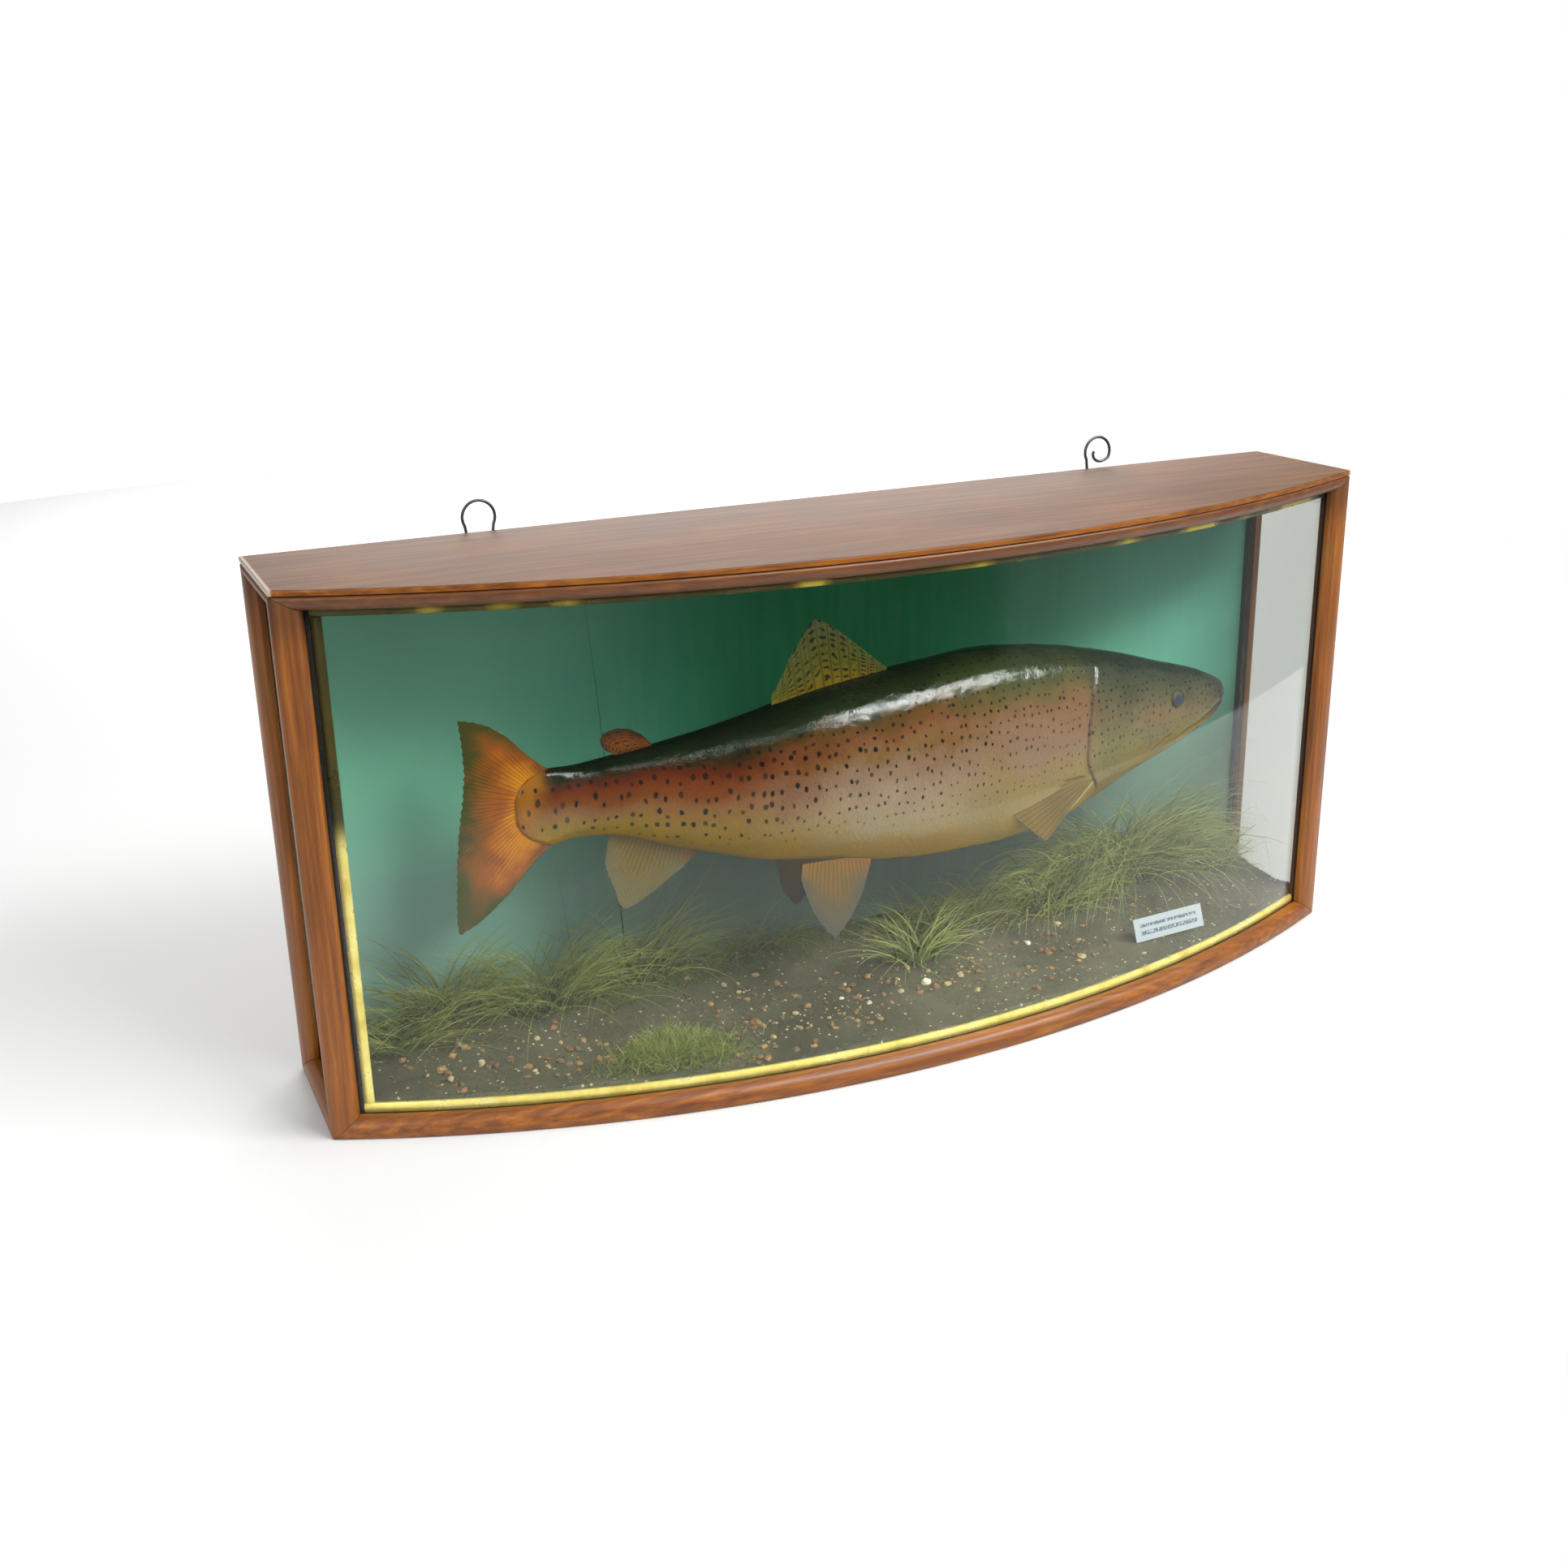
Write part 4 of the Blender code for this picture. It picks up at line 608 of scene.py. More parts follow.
# ---- materials: the riverbed --------------------------------------------------------------------
def bed_finish():
    """Glued sand and earth over papier mache: drab grey-brown, flecked with paler grit."""
    made, tree, shader = new_material("sanded_groundwork", Roughness=0.92, Specular_IOR_Level=0.2)
    broad = add_node(tree, "TexNoise", {"Vector": place_of(tree), "Scale": 14.0, "Detail": 4.0})
    grit = add_node(tree, "TexNoise", {"Vector": place_of(tree), "Scale": 900.0, "Detail": 2.0})
    flecks = add_node(tree, "TexVoronoi", {"Vector": place_of(tree), "Scale": 330.0}).node
    chance = add_node(tree, "SeparateColor", flecks.outputs["Color"]).node
    earth = add_node(tree, "ValToRGB", broad,
        stops=((0.32, "#302f20"), (0.5, "#41402e"), (0.68, "#514f3c")))
    sandy = add_node(tree, "Mix", add_node(tree, "MapRange", grit, 0.38, 0.66, 0.0, 0.4, **SOFT), earth,
        "#6c674e", **COLOURS)
    pale = add_node(tree, "Math",
        add_node(tree, "Math", chance.outputs[0], 0.93, operation="GREATER_THAN"),
        add_node(tree, "MapRange", flecks.outputs["Distance"], 0.42, 0.3, **SOFT), operation="MULTIPLY")
    flecked = add_node(tree, "Mix", add_node(tree, "Math", pale, 0.8, operation="MULTIPLY"), sandy,
        "#bfae84", **COLOURS)
    dark = add_node(tree, "Math",
        add_node(tree, "Math", chance.outputs[1], 0.12, operation="LESS_THAN"),
        add_node(tree, "MapRange", flecks.outputs["Distance"], 0.45, 0.3, **SOFT), operation="MULTIPLY")
    colour = add_node(tree, "Mix", add_node(tree, "Math", dark, 0.7, operation="MULTIPLY"), flecked,
        "#2c281e", **COLOURS)
    mossy = add_node(tree, "Mix",
        add_node(tree, "Math", add_node(tree, "Attribute", output="Fac", attribute_name="moss"), 0.7,
            operation="MULTIPLY"), colour, "#4d5430", **COLOURS)
    tree.links.new(mossy, shader.inputs["Base Color"])
    tree.links.new(add_node(tree, "Bump", {"Height": grit, "Distance": 0.0008, "Strength": 0.8}),
        shader.inputs["Normal"])
    return made


def stone_finish():
    """River pebbles: a dull matt skin in cream, ochre, rust and grey."""
    made, tree, shader = new_material("river_pebble", Roughness=0.65)
    tone = add_node(tree, "Attribute", output="Fac", attribute_name="tone")
    mottle = add_node(tree, "TexNoise", {"Vector": place_of(tree), "Scale": 500.0, "Detail": 3.0})
    colour = add_node(tree, "ValToRGB", tone,
        stops=((0.0, "#3c3528"), (0.22, "#5f4e36"), (0.38, "#6e4a24"), (0.52, "#886334"),
            (0.66, "#977844"), (0.8, "#a59260"), (0.93, "#b8aa86"), (1.0, "#dcd4bc")))
    tree.links.new(
        add_node(tree, "Mix", add_node(tree, "MapRange", mottle, 0.4, 0.7, 0.0, 0.35, **SOFT), colour,
            "#6e5a40", **COLOURS), shader.inputs["Base Color"])
    return made


def grass_finish(name, root, middle, tip):
    """Dyed dried grass: matt, darker at the root and bleached at the tip."""
    made, tree, shader = new_material(name, Roughness=0.7, Specular_IOR_Level=0.3)
    tone = add_node(tree, "Attribute", output="Fac", attribute_name="tone")
    colour = add_node(tree, "ValToRGB",
        add_node(tree, "Attribute", output="Fac", attribute_name="reach"),
        stops=((0.0, root), (0.45, middle), (1.0, tip)))
    pale = add_node(tree, "Mix", add_node(tree, "MapRange", tone, 0.55, 1.0, 0.0, 0.75, **SOFT), colour,
        "#a09c58", **COLOURS)
    tree.links.new(pale, shader.inputs["Base Color"])
    return made


# ---- the case's woodwork ------------------------------------------------------------------------
def arc_point(angle, depth):
    radius = ARC_R - depth
    return radius * math.sin(angle), ARC_Y - radius * math.cos(angle)


def arc_angle_at(x, depth):
    return math.asin(x / (ARC_R - depth))


def post_angle(distance):
    return HALF_ANGLE - distance / ARC_R


def moulding_face(face):
    """The moulded edge from the outer arris to the sight edge, as (u, v) points."""
    flat_end = face * FLAT_SHARE
    points = []
    for i in range(5):
        turn = math.pi / 2 * i / 4
        points.append((ARRIS * (1 - math.cos(turn)), ARRIS * (1 - math.sin(turn))))
    for i in range(OVOLO_STEPS + 1):
        turn = math.pi / 2 * i / OVOLO_STEPS
        points.append((flat_end + (face - flat_end) * math.sin(turn), MOULD_DROP * (1 - math.cos(turn))))
    return points


def rebate(face, frame_depth):
    lip_back = MOULD_DROP + LIP
    return [(face, lip_back), (face - REBATE, lip_back), (face - REBATE, frame_depth)]


def rail_section(face, frame_depth):
    return moulding_face(face) + rebate(face, frame_depth) + [(0.0, frame_depth)]


def fill_cut(bm, plane_point, plane_normal):
    """Cut away what lies on the normal's side of a plane and close the cut."""
    cut = bmesh.ops.bisect_plane(bm, geom=bm.verts[:] + bm.edges[:] + bm.faces[:], dist=1e-7,
                                 plane_co=plane_point, plane_no=plane_normal, clear_outer=True)
    edges = [e for e in cut["geom_cut"] if isinstance(e, bmesh.types.BMEdge)]
    if edges:
        bmesh.ops.contextual_create(bm, geom=edges)


def corner(side):
    point = Vector((side * WIDTH / 2, Y_CORNER, 0.0))
    along = Vector((-side * math.cos(HALF_ANGLE), -math.sin(HALF_ANGLE), 0.0))
    inward = Vector((-side * math.sin(HALF_ANGLE), math.cos(HALF_ANGLE), 0.0))
    return point, along, inward


def mitre_normal(along, inward, face, rises):
    across = along * POST_FACE + Vector((0.0, 0.0, rises * face))
    normal = inward.cross(across).normalized()
    return -normal if normal.z * rises < 0 else normal


def bisector_normal(side):
    _, along, _ = corner(side)
    middle = (along + Vector((0.0, 1.0, 0.0))).normalized()
    normal = Vector((middle.y, -middle.x, 0.0))
    return -normal if normal.dot(along) > 0 else normal


def mitre_rail_ends(bm, z_outer, face, rises, ends):
    for point, along, inward, upright in ends:
        level = point + Vector((0.0, 0.0, z_outer))
        normal = mitre_normal(along, inward, face, rises)
        fill_cut(bm, level - normal * GAP / 2, normal)
        if upright is not None:
            fill_cut(bm, point - upright * GAP / 2, upright)


def spun_section(bm, points, angle_from, angle_to, steps):
    """Spin a closed (depth, z) section about the bow's axis."""
    verts = []
    for depth, z in points:
        x, y = arc_point(angle_from, depth)
        verts.append(bm.verts.new((x, y, z)))
    section = bm.faces.new(verts)
    bmesh.ops.spin(bm, geom=[section, *section.edges, *section.verts], cent=(0.0, ARC_Y, 0.0),
                   axis=(0.0, 0.0, 1.0), angle=angle_to - angle_from, steps=steps, use_duplicate=False)
    bmesh.ops.remove_doubles(bm, verts=bm.verts, dist=1e-7)


def front_rail(name, face, z_outer, rises, finish):
    bm = bmesh.new()
    start = HALF_ANGLE + 0.01
    points = [(v, z_outer + rises * u) for u, v in rail_section(face, FRAME_DEPTH)]
    spun_section(bm, points, -start, start, ARC_STEPS)
    ends = []
    for side in (-1, 1):
        point, along, inward = corner(side)
        ends.append((point, along, inward, bisector_normal(side)))
    mitre_rail_ends(bm, z_outer, face, rises, ends)
    add_piece(f"{name}_moulding", mesh_from(bm, name), finish, (name,))


def extrude_section(bm, points, travel):
    section = bm.faces.new([bm.verts.new(p) for p in points])
    grown = bmesh.ops.extrude_face_region(bm, geom=[section])
    moved = [v for v in grown["geom"] if isinstance(v, bmesh.types.BMVert)]
    bmesh.ops.translate(bm, verts=moved, vec=travel)


def side_rail(name, side, face, z_outer, rises, finish):
    bm = bmesh.new()
    y_start = Y_CORNER - 0.030
    section = rail_section(face, SIDE_FRAME_DEPTH)
    points = [(side * (WIDTH / 2 - v), y_start, z_outer + rises * u) for u, v in section]
    extrude_section(bm, points, Vector((0.0, Y_REAR - y_start, 0.0)))
    inward = Vector((-side, 0.0, 0.0))
    backward = Vector((0.0, 1.0, 0.0))
    front_point = Vector((side * WIDTH / 2, Y_CORNER, 0.0))
    rear_point = Vector((side * WIDTH / 2, Y_REAR, 0.0))
    ends = [(front_point, backward, inward, -bisector_normal(side)), (rear_point, -backward, inward, None)]
    mitre_rail_ends(bm, z_outer, face, rises, ends)
    add_piece(f"{name}_moulding", mesh_from(bm, name), finish, (name,))


def post(name, plan_points, frames, finish):
    bm = bmesh.new()
    extrude_section(bm, [Vector((x, y, 0.0)) for x, y in plan_points], Vector((0.0, 0.0, Z_RAIL_TOP)))
    for point, along, inward in frames:
        for z_outer, face, rises in ((0.0, BOTTOM_FACE, 1), (Z_RAIL_TOP, TOP_FACE, -1)):
            normal = mitre_normal(along, inward, face, rises)
            level = point + Vector((0.0, 0.0, z_outer))
            fill_cut(bm, level + normal * GAP / 2, -normal)
    add_piece(f"{name}_moulding", mesh_from(bm, name), finish, (name,))


def plan(point, along, inward, section):
    return [((point + along * u + inward * v).x, (point + along * u + inward * v).y) for u, v in section]


def front_post(name, side, finish):
    point, along, inward = corner(side)
    face = moulding_face(POST_FACE)[2:]
    backward = Vector((0.0, 1.0, 0.0))
    sideways = Vector((-side, 0.0, 0.0))
    outline = plan(point, along, inward, face + rebate(POST_FACE, FRAME_DEPTH))
    outline += plan(point, backward, sideways, face + rebate(POST_FACE, SIDE_FRAME_DEPTH))[::-1]
    post(name, outline, [(point, along, inward), (point, backward, sideways)], finish)


def rear_post(name, side, finish):
    point = Vector((side * WIDTH / 2, Y_REAR, 0.0))
    forward = Vector((0.0, -1.0, 0.0))
    sideways = Vector((-side, 0.0, 0.0))
    outline = plan(point, forward, sideways, rail_section(POST_FACE, SIDE_FRAME_DEPTH))
    post(name, outline, [(point, forward, sideways)], finish)


def top_board(finish):
    """The flush top, its arris rubbed round."""
    bm = bmesh.new()
    angles = [-HALF_ANGLE + 2 * HALF_ANGLE * i / ARC_STEPS for i in range(ARC_STEPS + 1)]
    outline = [arc_point(angle, 0.0) for angle in angles] + [(WIDTH / 2, Y_REAR), (-WIDTH / 2, Y_REAR)]
    extrude_section(bm, [Vector((x, y, HEIGHT - TOP_THICK)) for x, y in outline],
        Vector((0.0, 0.0, TOP_THICK)))
    bmesh.ops.recalc_face_normals(bm, faces=bm.faces)
    rims = [e for e in bm.edges if abs(e.verts[0].co.z - e.verts[1].co.z) < 1e-6]
    bmesh.ops.bevel(bm, geom=rims, offset=0.0012, segments=4, profile=0.5, affect="EDGES", material=-1)
    add_piece("top_board_polished", mesh_from(bm, "top_board"), finish, ("top_board",))


def strip(name, section, angle_from, angle_to, finish, replaces, steps=ARC_STEPS):
    bm = bmesh.new()
    spun_section(bm, section, angle_from, angle_to, steps)
    return add_piece(name, mesh_from(bm, name), finish, replaces)


def box_section(v_out, v_in, z_low, z_high, ease=0.0):
    """A strip's section; ease rounds the two corners that face outwards."""
    if not ease:
        return [(v_out, z_low), (v_in, z_low), (v_in, z_high), (v_out, z_high)]
    points = [(v_in, z_low), (v_in, z_high)]
    steps = 8
    for i in range(steps + 1):
        share = i / steps
        bulge = math.sin(math.pi * share)
        points.append((v_out + ease * (1 - bulge), z_high + (z_low - z_high) * share))
    return points


def build_case():
    upright = mahogany("mahogany_upright", "Z")
    lengthwise = mahogany("mahogany_lengthwise", "X")
    crosswise = mahogany("mahogany_crosswise", "Y")
    top_board(mahogany("mahogany_top", "X", dusty_top=True))
    front_rail("front_rail_bottom", BOTTOM_FACE, 0.0, 1, lengthwise)
    front_rail("front_rail_top", TOP_FACE, Z_RAIL_TOP, -1, lengthwise)
    for side, word in ((-1, "left"), (1, "right")):
        side_rail(f"side_rail_{word}_bottom", side, BOTTOM_FACE, 0.0, 1, crosswise)
        side_rail(f"side_rail_{word}_top", side, TOP_FACE, Z_RAIL_TOP, -1, crosswise)
        front_post(f"front_post_{word}", side, upright)
        rear_post(f"rear_post_{word}", side, upright)
    build_glazing()
    build_slips()
    # boards: the painted back, and pine that is hardly seen
    pine, tree, shader = new_material("sawn_pine", Roughness=0.8)
    rings = add_node(tree, "TexNoise",
        {"Vector": place_of(tree, (6, 160, 160)), "Scale": 1.0, "Detail": 3.0})
    tree.links.new(add_node(tree, "ValToRGB", rings, stops=((0.3, "#8f6c42"), (0.7, "#b8946a"))),
        shader.inputs["Base Color"])
    finish_node("back_board", painted_back())
    finish_node("bottom_board", pine)
    finish_node("label_wedge", pine)
    rod, _, _ = new_material("mild_steel_rod", Base_Color="#3a3834", Metallic=1.0, Roughness=0.55)
    finish_node("fixing_rod_front", rod)
    finish_node("fixing_rod_rear", rod)


def finish_node(name, finish):
    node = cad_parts[name]
    node.data.materials.clear()
    node.data.materials.append(finish)


def build_glazing():
    glass = pane_glass("drawn_glass_front", "#fafcfa")
    side_glass = pane_glass("drawn_glass_side", "#bec0bc")
    low = BOTTOM_FACE - REBATE + GAP
    high = Z_RAIL_TOP - TOP_FACE + REBATE - GAP
    end = post_angle(POST_FACE - REBATE + 2 * GAP)
    section = box_section(GLASS_V, GLASS_V + GLASS_THICK, low, high)
    strip("front_pane", section, -end, end, glass, ("front_glass",), ARC_STEPS * 2)
    y_from = Y_CORNER + POST_FACE - REBATE + GAP
    y_to = Y_REAR - POST_FACE + REBATE - GAP
    for side, word in ((-1, "left"), (1, "right")):
        bm = bmesh.new()
        x_out = side * (WIDTH / 2 - GLASS_V)
        x_in = side * (WIDTH / 2 - GLASS_V - GLASS_THICK)
        points = [(x_out, y_from, low), (x_in, y_from, low), (x_in, y_to, low), (x_out, y_to, low)]
        extrude_section(bm, points, Vector((0.0, 0.0, high - low)))
        add_piece(f"side_pane_{word}", mesh_from(bm, f"side_pane_{word}"), side_glass,
            (f"side_glass_{word}",))


def build_slips():
    """The stepped slips behind the front pane: gilded face, with black liners that show beside the gilt as a
    painted shadow gap.
    """
    gilt = gilt_finish()
    black, _, _ = new_material("black_liner_shade", Base_Color="#0c0c0a", Roughness=0.7)
    v_in = SLIP_V + SLIP_THICK
    left_post = -post_angle(POST_FACE - REBATE + 2 * GAP)
    slip_left = -post_angle(SLIP_POST_INSET)
    right_post = post_angle(POST_FACE - REBATE + 2 * GAP)
    liner_right = post_angle(POST_FACE - REBATE + RIGHT_LINER_FACE)
    joint = arc_angle_at(SLIP_JOINT_X, SLIP_V)
    shift = GAP / 2 / ARC_R
    top_outer = HEIGHT - SLIP_INSET
    bottom_inner = SLIP_INSET + GILT_FACE
    top_inner = top_outer - GILT_FACE
    low = BOTTOM_FACE - REBATE + GAP
    high = Z_RAIL_TOP - TOP_FACE + REBATE - GAP
    # the black liners, where they show beside the gilt and down the right post, are painted shade
    rows = (("liner_bottom", left_post, right_post, low, SLIP_INSET - GAP),
            ("liner_top", left_post, right_post, top_outer + GAP, high),
            ("liner_left", left_post, slip_left - 2 * shift, SLIP_INSET, top_outer),
            ("liner_right", liner_right, right_post, SLIP_INSET, top_outer))
    for name, start, end, z_low, z_high in rows:
        strip(f"{name}_paper", box_section(SLIP_V, v_in, z_low, z_high), start, end, black,
            (name,))
    inner = liner_right - 2 * shift
    for word, start, end in (("left", slip_left, joint - shift), ("right", joint + shift, inner)):
        for level, z_low, z_high in (("bottom", SLIP_INSET, bottom_inner), ("top", top_inner, top_outer)):
            name = f"slip_{level}_{word}"
            strip(f"{name}_gilded", box_section(SLIP_V, v_in, z_low, z_high, 0.0012), start, end, gilt,
                (name,))
    bm = bmesh.new()
    steps = 8
    end = slip_left + GILT_FACE / ARC_R
    front = []
    for i in range(steps + 1):
        share = i / steps
        front.append(
            arc_point(slip_left + (end - slip_left) * share,
                SLIP_V + 0.0012 * (1 - math.sin(math.pi * share))))
    outline = front + [arc_point(end, v_in), arc_point(slip_left, v_in)]
    z_low = bottom_inner + GAP
    extrude_section(bm, [Vector((x, y, z_low)) for x, y in outline],
        Vector((0.0, 0.0, top_inner - GAP - z_low)))
    add_piece("slip_left_gilded", mesh_from(bm, "slip_left"), gilt, ("slip_left",))


def wire_piece(name, points, radius, finish, replaces):
    curve = bpy.data.curves.new(name, "CURVE")
    curve.dimensions = "3D"
    curve.bevel_depth = radius
    curve.bevel_resolution = 4
    curve.use_fill_caps = True
    spline = curve.splines.new("POLY")
    spline.points.add(len(points) - 1)
    for point, co in zip(spline.points, points):
        point.co = (*co, 1.0)
    drawn = bpy.data.objects.new(name, curve)
    bpy.context.scene.collection.objects.link(drawn)
    bpy.context.view_layer.update()
    mesh = bpy.data.meshes.new_from_object(drawn.evaluated_get(bpy.context.evaluated_depsgraph_get()))
    bpy.data.objects.remove(drawn, do_unlink=True)
    bm = bmesh.new()
    bm.from_mesh(mesh)
    bmesh.ops.remove_doubles(bm, verts=bm.verts, dist=0.00001)
    add_piece(name, mesh_from(bm, name), finish, replaces, 50.0)


def build_rings():
    """Bent wire loops for hanging, dulled with age; the right one's end is coiled inwards."""
    steel, _, _ = new_material("dull_steel_wire", Base_Color="#5c5c5a", Metallic=1.0, Roughness=0.42)
    y = Y_REAR + GAP + WIRE_R
    for word, cx, cz, coiled in (("left", RING_X[0], RING_Z[0], False),
                                 ("right", RING_X[1], RING_Z[1], True)):
        points = [(cx - LEG_X, y, LEG_END_Z), (cx - LEG_X, y, HEIGHT - 0.006)]
        steps = 40
        for i in range(steps + 1):
            angle = math.radians(208 + (-28 - 208) * i / steps)
            points.append((cx + RING_R * math.cos(angle), y, cz + RING_R * math.sin(angle)))
        if coiled:
            for i in range(1, 25):
                angle = math.radians(-28 - 157 * i / 24)
                reach = RING_R * (1.0 - 0.72 * (i / 24) ** 0.75)
                points.append((cx + reach * math.cos(angle), y, cz + reach * math.sin(angle)))
        else:
            points += [(cx + LEG_X, y, HEIGHT - 0.006), (cx + LEG_X, y, LEG_END_Z)]
        wire_piece(f"ring_wire_{word}", points, WIRE_R * 0.98, steel, (f"hanging_ring_{word}",))
        finish_node(f"ring_plate_{word}", steel)


LABEL_AT = (0.2735, Y_CORNER - 0.0195, 0.0226)
LABEL_SIZE = (0.074, 0.0010, 0.020)
LABEL_LEAN = math.radians(20)
LABEL_YAW = math.radians(3.4)


def build_label():
    """The card, with its own map for the faded marks."""
    wide, thick, tall = LABEL_SIZE
    place = Matrix.Translation(LABEL_AT) @ Matrix.Rotation(LABEL_YAW, 4, "Z")
    place = place @ Matrix.Translation((0.0, 0.0, thick * math.sin(LABEL_LEAN)))
    place = place @ Matrix.Rotation(math.pi / 2 - LABEL_LEAN, 4, "X")
    bm = bmesh.new()
    bmesh.ops.create_grid(bm, x_segments=24, y_segments=8, size=0.5)
    marks = bm.loops.layers.uv.new("card")
    for face in bm.faces:
        for loop in face.loops:
            loop[marks].uv = (loop.vert.co.x + 0.5, loop.vert.co.y + 0.5)
    grown = bmesh.ops.extrude_face_region(bm, geom=bm.faces[:])
    bmesh.ops.translate(bm, verts=[v for v in grown["geom"] if isinstance(v, bmesh.types.BMVert)],
        vec=(0, 0, -1))
    for vert in bm.verts:
        x, y = vert.co.x * wide, (vert.co.y + 0.5) * tall
        vert.co = (x, y, thick / 2 + vert.co.z * thick * 0.8)
    bmesh.ops.transform(bm, matrix=place, verts=bm.verts)
    add_piece("label_card_aged", mesh_from(bm, "label_card"), paper_label(), ("label_card",))


# ---- the trout's body plan ----------------------------------------------------------------------
def smooth_line(column):
    """A smooth line through the body's stations, sampled every quarter of a millimetre."""
    xs = [row[0] for row in BODY_LINES]
    ys = [row[column] for row in BODY_LINES]
    slopes = [(ys[i + 1] - ys[i]) / (xs[i + 1] - xs[i]) for i in range(len(xs) - 1)]
    tangents = [slopes[0]]
    for left, right in zip(slopes, slopes[1:]):
        tangents.append(0.0 if left * right <= 0 else 2 * left * right / (left + right))
    tangents.append(slopes[-1])
    at = np.arange(0.0, FLESH_END + 0.25, 0.25)
    i = np.clip(np.searchsorted(xs, at, side="right") - 1, 0, len(xs) - 2)
    xs, ys, tangents = np.array(xs), np.array(ys), np.array(tangents)
    span = xs[i + 1] - xs[i]
    t = np.clip((at - xs[i]) / span, 0.0, 1.0)
    rise = (2 * t ** 3 - 3 * t ** 2 + 1) * ys[i] + (-2 * t ** 3 + 3 * t ** 2) * ys[i + 1]
    bend = (t ** 3 - 2 * t ** 2 + t) * tangents[i] + (t ** 3 - t ** 2) * tangents[i + 1]
    return at, rise + bend * span


STATIONS, BACK_LINE = smooth_line(1)
_, BELLY_LINE = smooth_line(2)
_, WIDTH_LINE = smooth_line(3)


def flesh(behind, turn, grow=0.0):
    """Points on the flesh, in millimetres in the fish's own frame: X ahead, Y to its left, Z up."""
    back = np.interp(behind, STATIONS, BACK_LINE)
    belly = np.interp(behind, STATIONS, BELLY_LINE)
    half = np.interp(behind, STATIONS, WIDTH_LINE)
    level = belly + (back - belly) * WIDEST
    across, up = np.cos(turn), np.sin(turn)
    reach = np.where(up > 0, back - level, level - belly)
    y = np.sign(across) * np.abs(across) ** SECTION_POWER * np.maximum(half + grow, 0.05)
    z = level + np.sign(up) * np.abs(up) ** SECTION_POWER * np.maximum(reach + grow, 0.05)
    return np.stack([SNOUT_X - behind, -y, z], axis=-1)


def flesh_frame(behind, turn, grow=0.0):
    """Points, outward normals, and the directions to the tail and round the body."""
    step_b, step_t = 0.4, 0.012
    low = np.maximum(behind - step_b, 0.0)
    high = np.minimum(behind + step_b, FLESH_END)
    to_tail = flesh(high, turn, grow) - flesh(low, turn, grow)
    around = flesh(behind, turn + step_t, grow) - flesh(behind, turn - step_t, grow)
    out = np.cross(around, to_tail)
    length = np.linalg.norm(out, axis=-1, keepdims=True)
    out = out / np.maximum(length, 1e-9)
    point = flesh(behind, turn, grow)
    axis = np.stack([point[..., 0], point[..., 1] * 0, point[..., 2] * 0 + AXIS_Z], -1)
    inward = np.sum(out * (point - axis), -1) < 0
    out = np.where(inward[..., None], -out, out)
    to_tail = to_tail / np.maximum(np.linalg.norm(to_tail, axis=-1, keepdims=True), 1e-9)
    around = around / np.maximum(np.linalg.norm(around, axis=-1, keepdims=True), 1e-9)
    return point, out, to_tail, around


def to_case(points):
    """Fish millimetres to metres in the case."""
    return np.stack([points[..., 0] / 1000, FISH_Y + points[..., 1] / 1000, points[..., 2] / 1000], axis=-1)


def gill_cut(turn):
    away = np.arcsin(np.sin(turn)) - GILL_LOW
    power = np.where(away > 0, GILL_POWERS[0], GILL_POWERS[1])
    return GILL_CUT + GILL_BULGE * np.maximum(0.0, np.cos(away)) ** power


def from_line(x, z, line):
    """Distance in side view from points to a broken line."""
    best = np.full(x.shape, 1e9)
    for (x0, z0), (x1, z1) in zip(line, line[1:]):
        dx, dz = x1 - x0, z1 - z0
        t = np.clip(((x - x0) * dx + (z - z0) * dz) / (dx * dx + dz * dz), 0.0, 1.0)
        best = np.minimum(best, np.hypot(x - x0 - t * dx, z - z0 - t * dz))
    return best


def groove(distance, width):
    return np.exp(-(distance / width) ** 2)


MOUTH = ((343.6, 219.5), (335.0, 218.8), (326.4, 216.6), (315.0, 209.6), (304.4, 203.2), (296.0, 200.6),
    (289.0, 198.2))
UPPER_LIP = ((342.0, 224.0), (328.0, 221.6), (315.0, 214.6), (303.0, 207.8), (292.0, 204.8), (286.0, 201.0))
JAW_HINGE = ((289.0, 198.2), (283.5, 195.5), (281.0, 191.0))
THROAT_LINE = ((273.0, 201.4), (264.0, 195.6), (255.5, 188.6), (246.0, 182.2), (234.0, 176.4))
COVER_FRONT = ((228.0, 259.0), (237.0, 246.0), (242.0, 228.0), (246.0, 210.0), (251.0, 196.0), (243.0, 187.0))
COVER_SPLIT = ((241.0, 214.0), (222.0, 206.0), (204.0, 201.5), (188.0, 200.5))
CHEEK_LINE = ((262.0, 240.0), (258.0, 226.0), (260.0, 212.0), (268.0, 205.0))
GULAR_LINES = (((268.0, 188.0), (250.0, 179.5), (228.0, 171.0)),
    ((262.0, 183.5), (246.0, 175.5), (226.0, 166.5)))
BROW_LINE = ((296.0, 241.0), (280.0, 241.5), (266.0, 239.0))
NOSTRILS = ((318.5, 236.6, 1.5), (314.6, 237.6, 1.2))


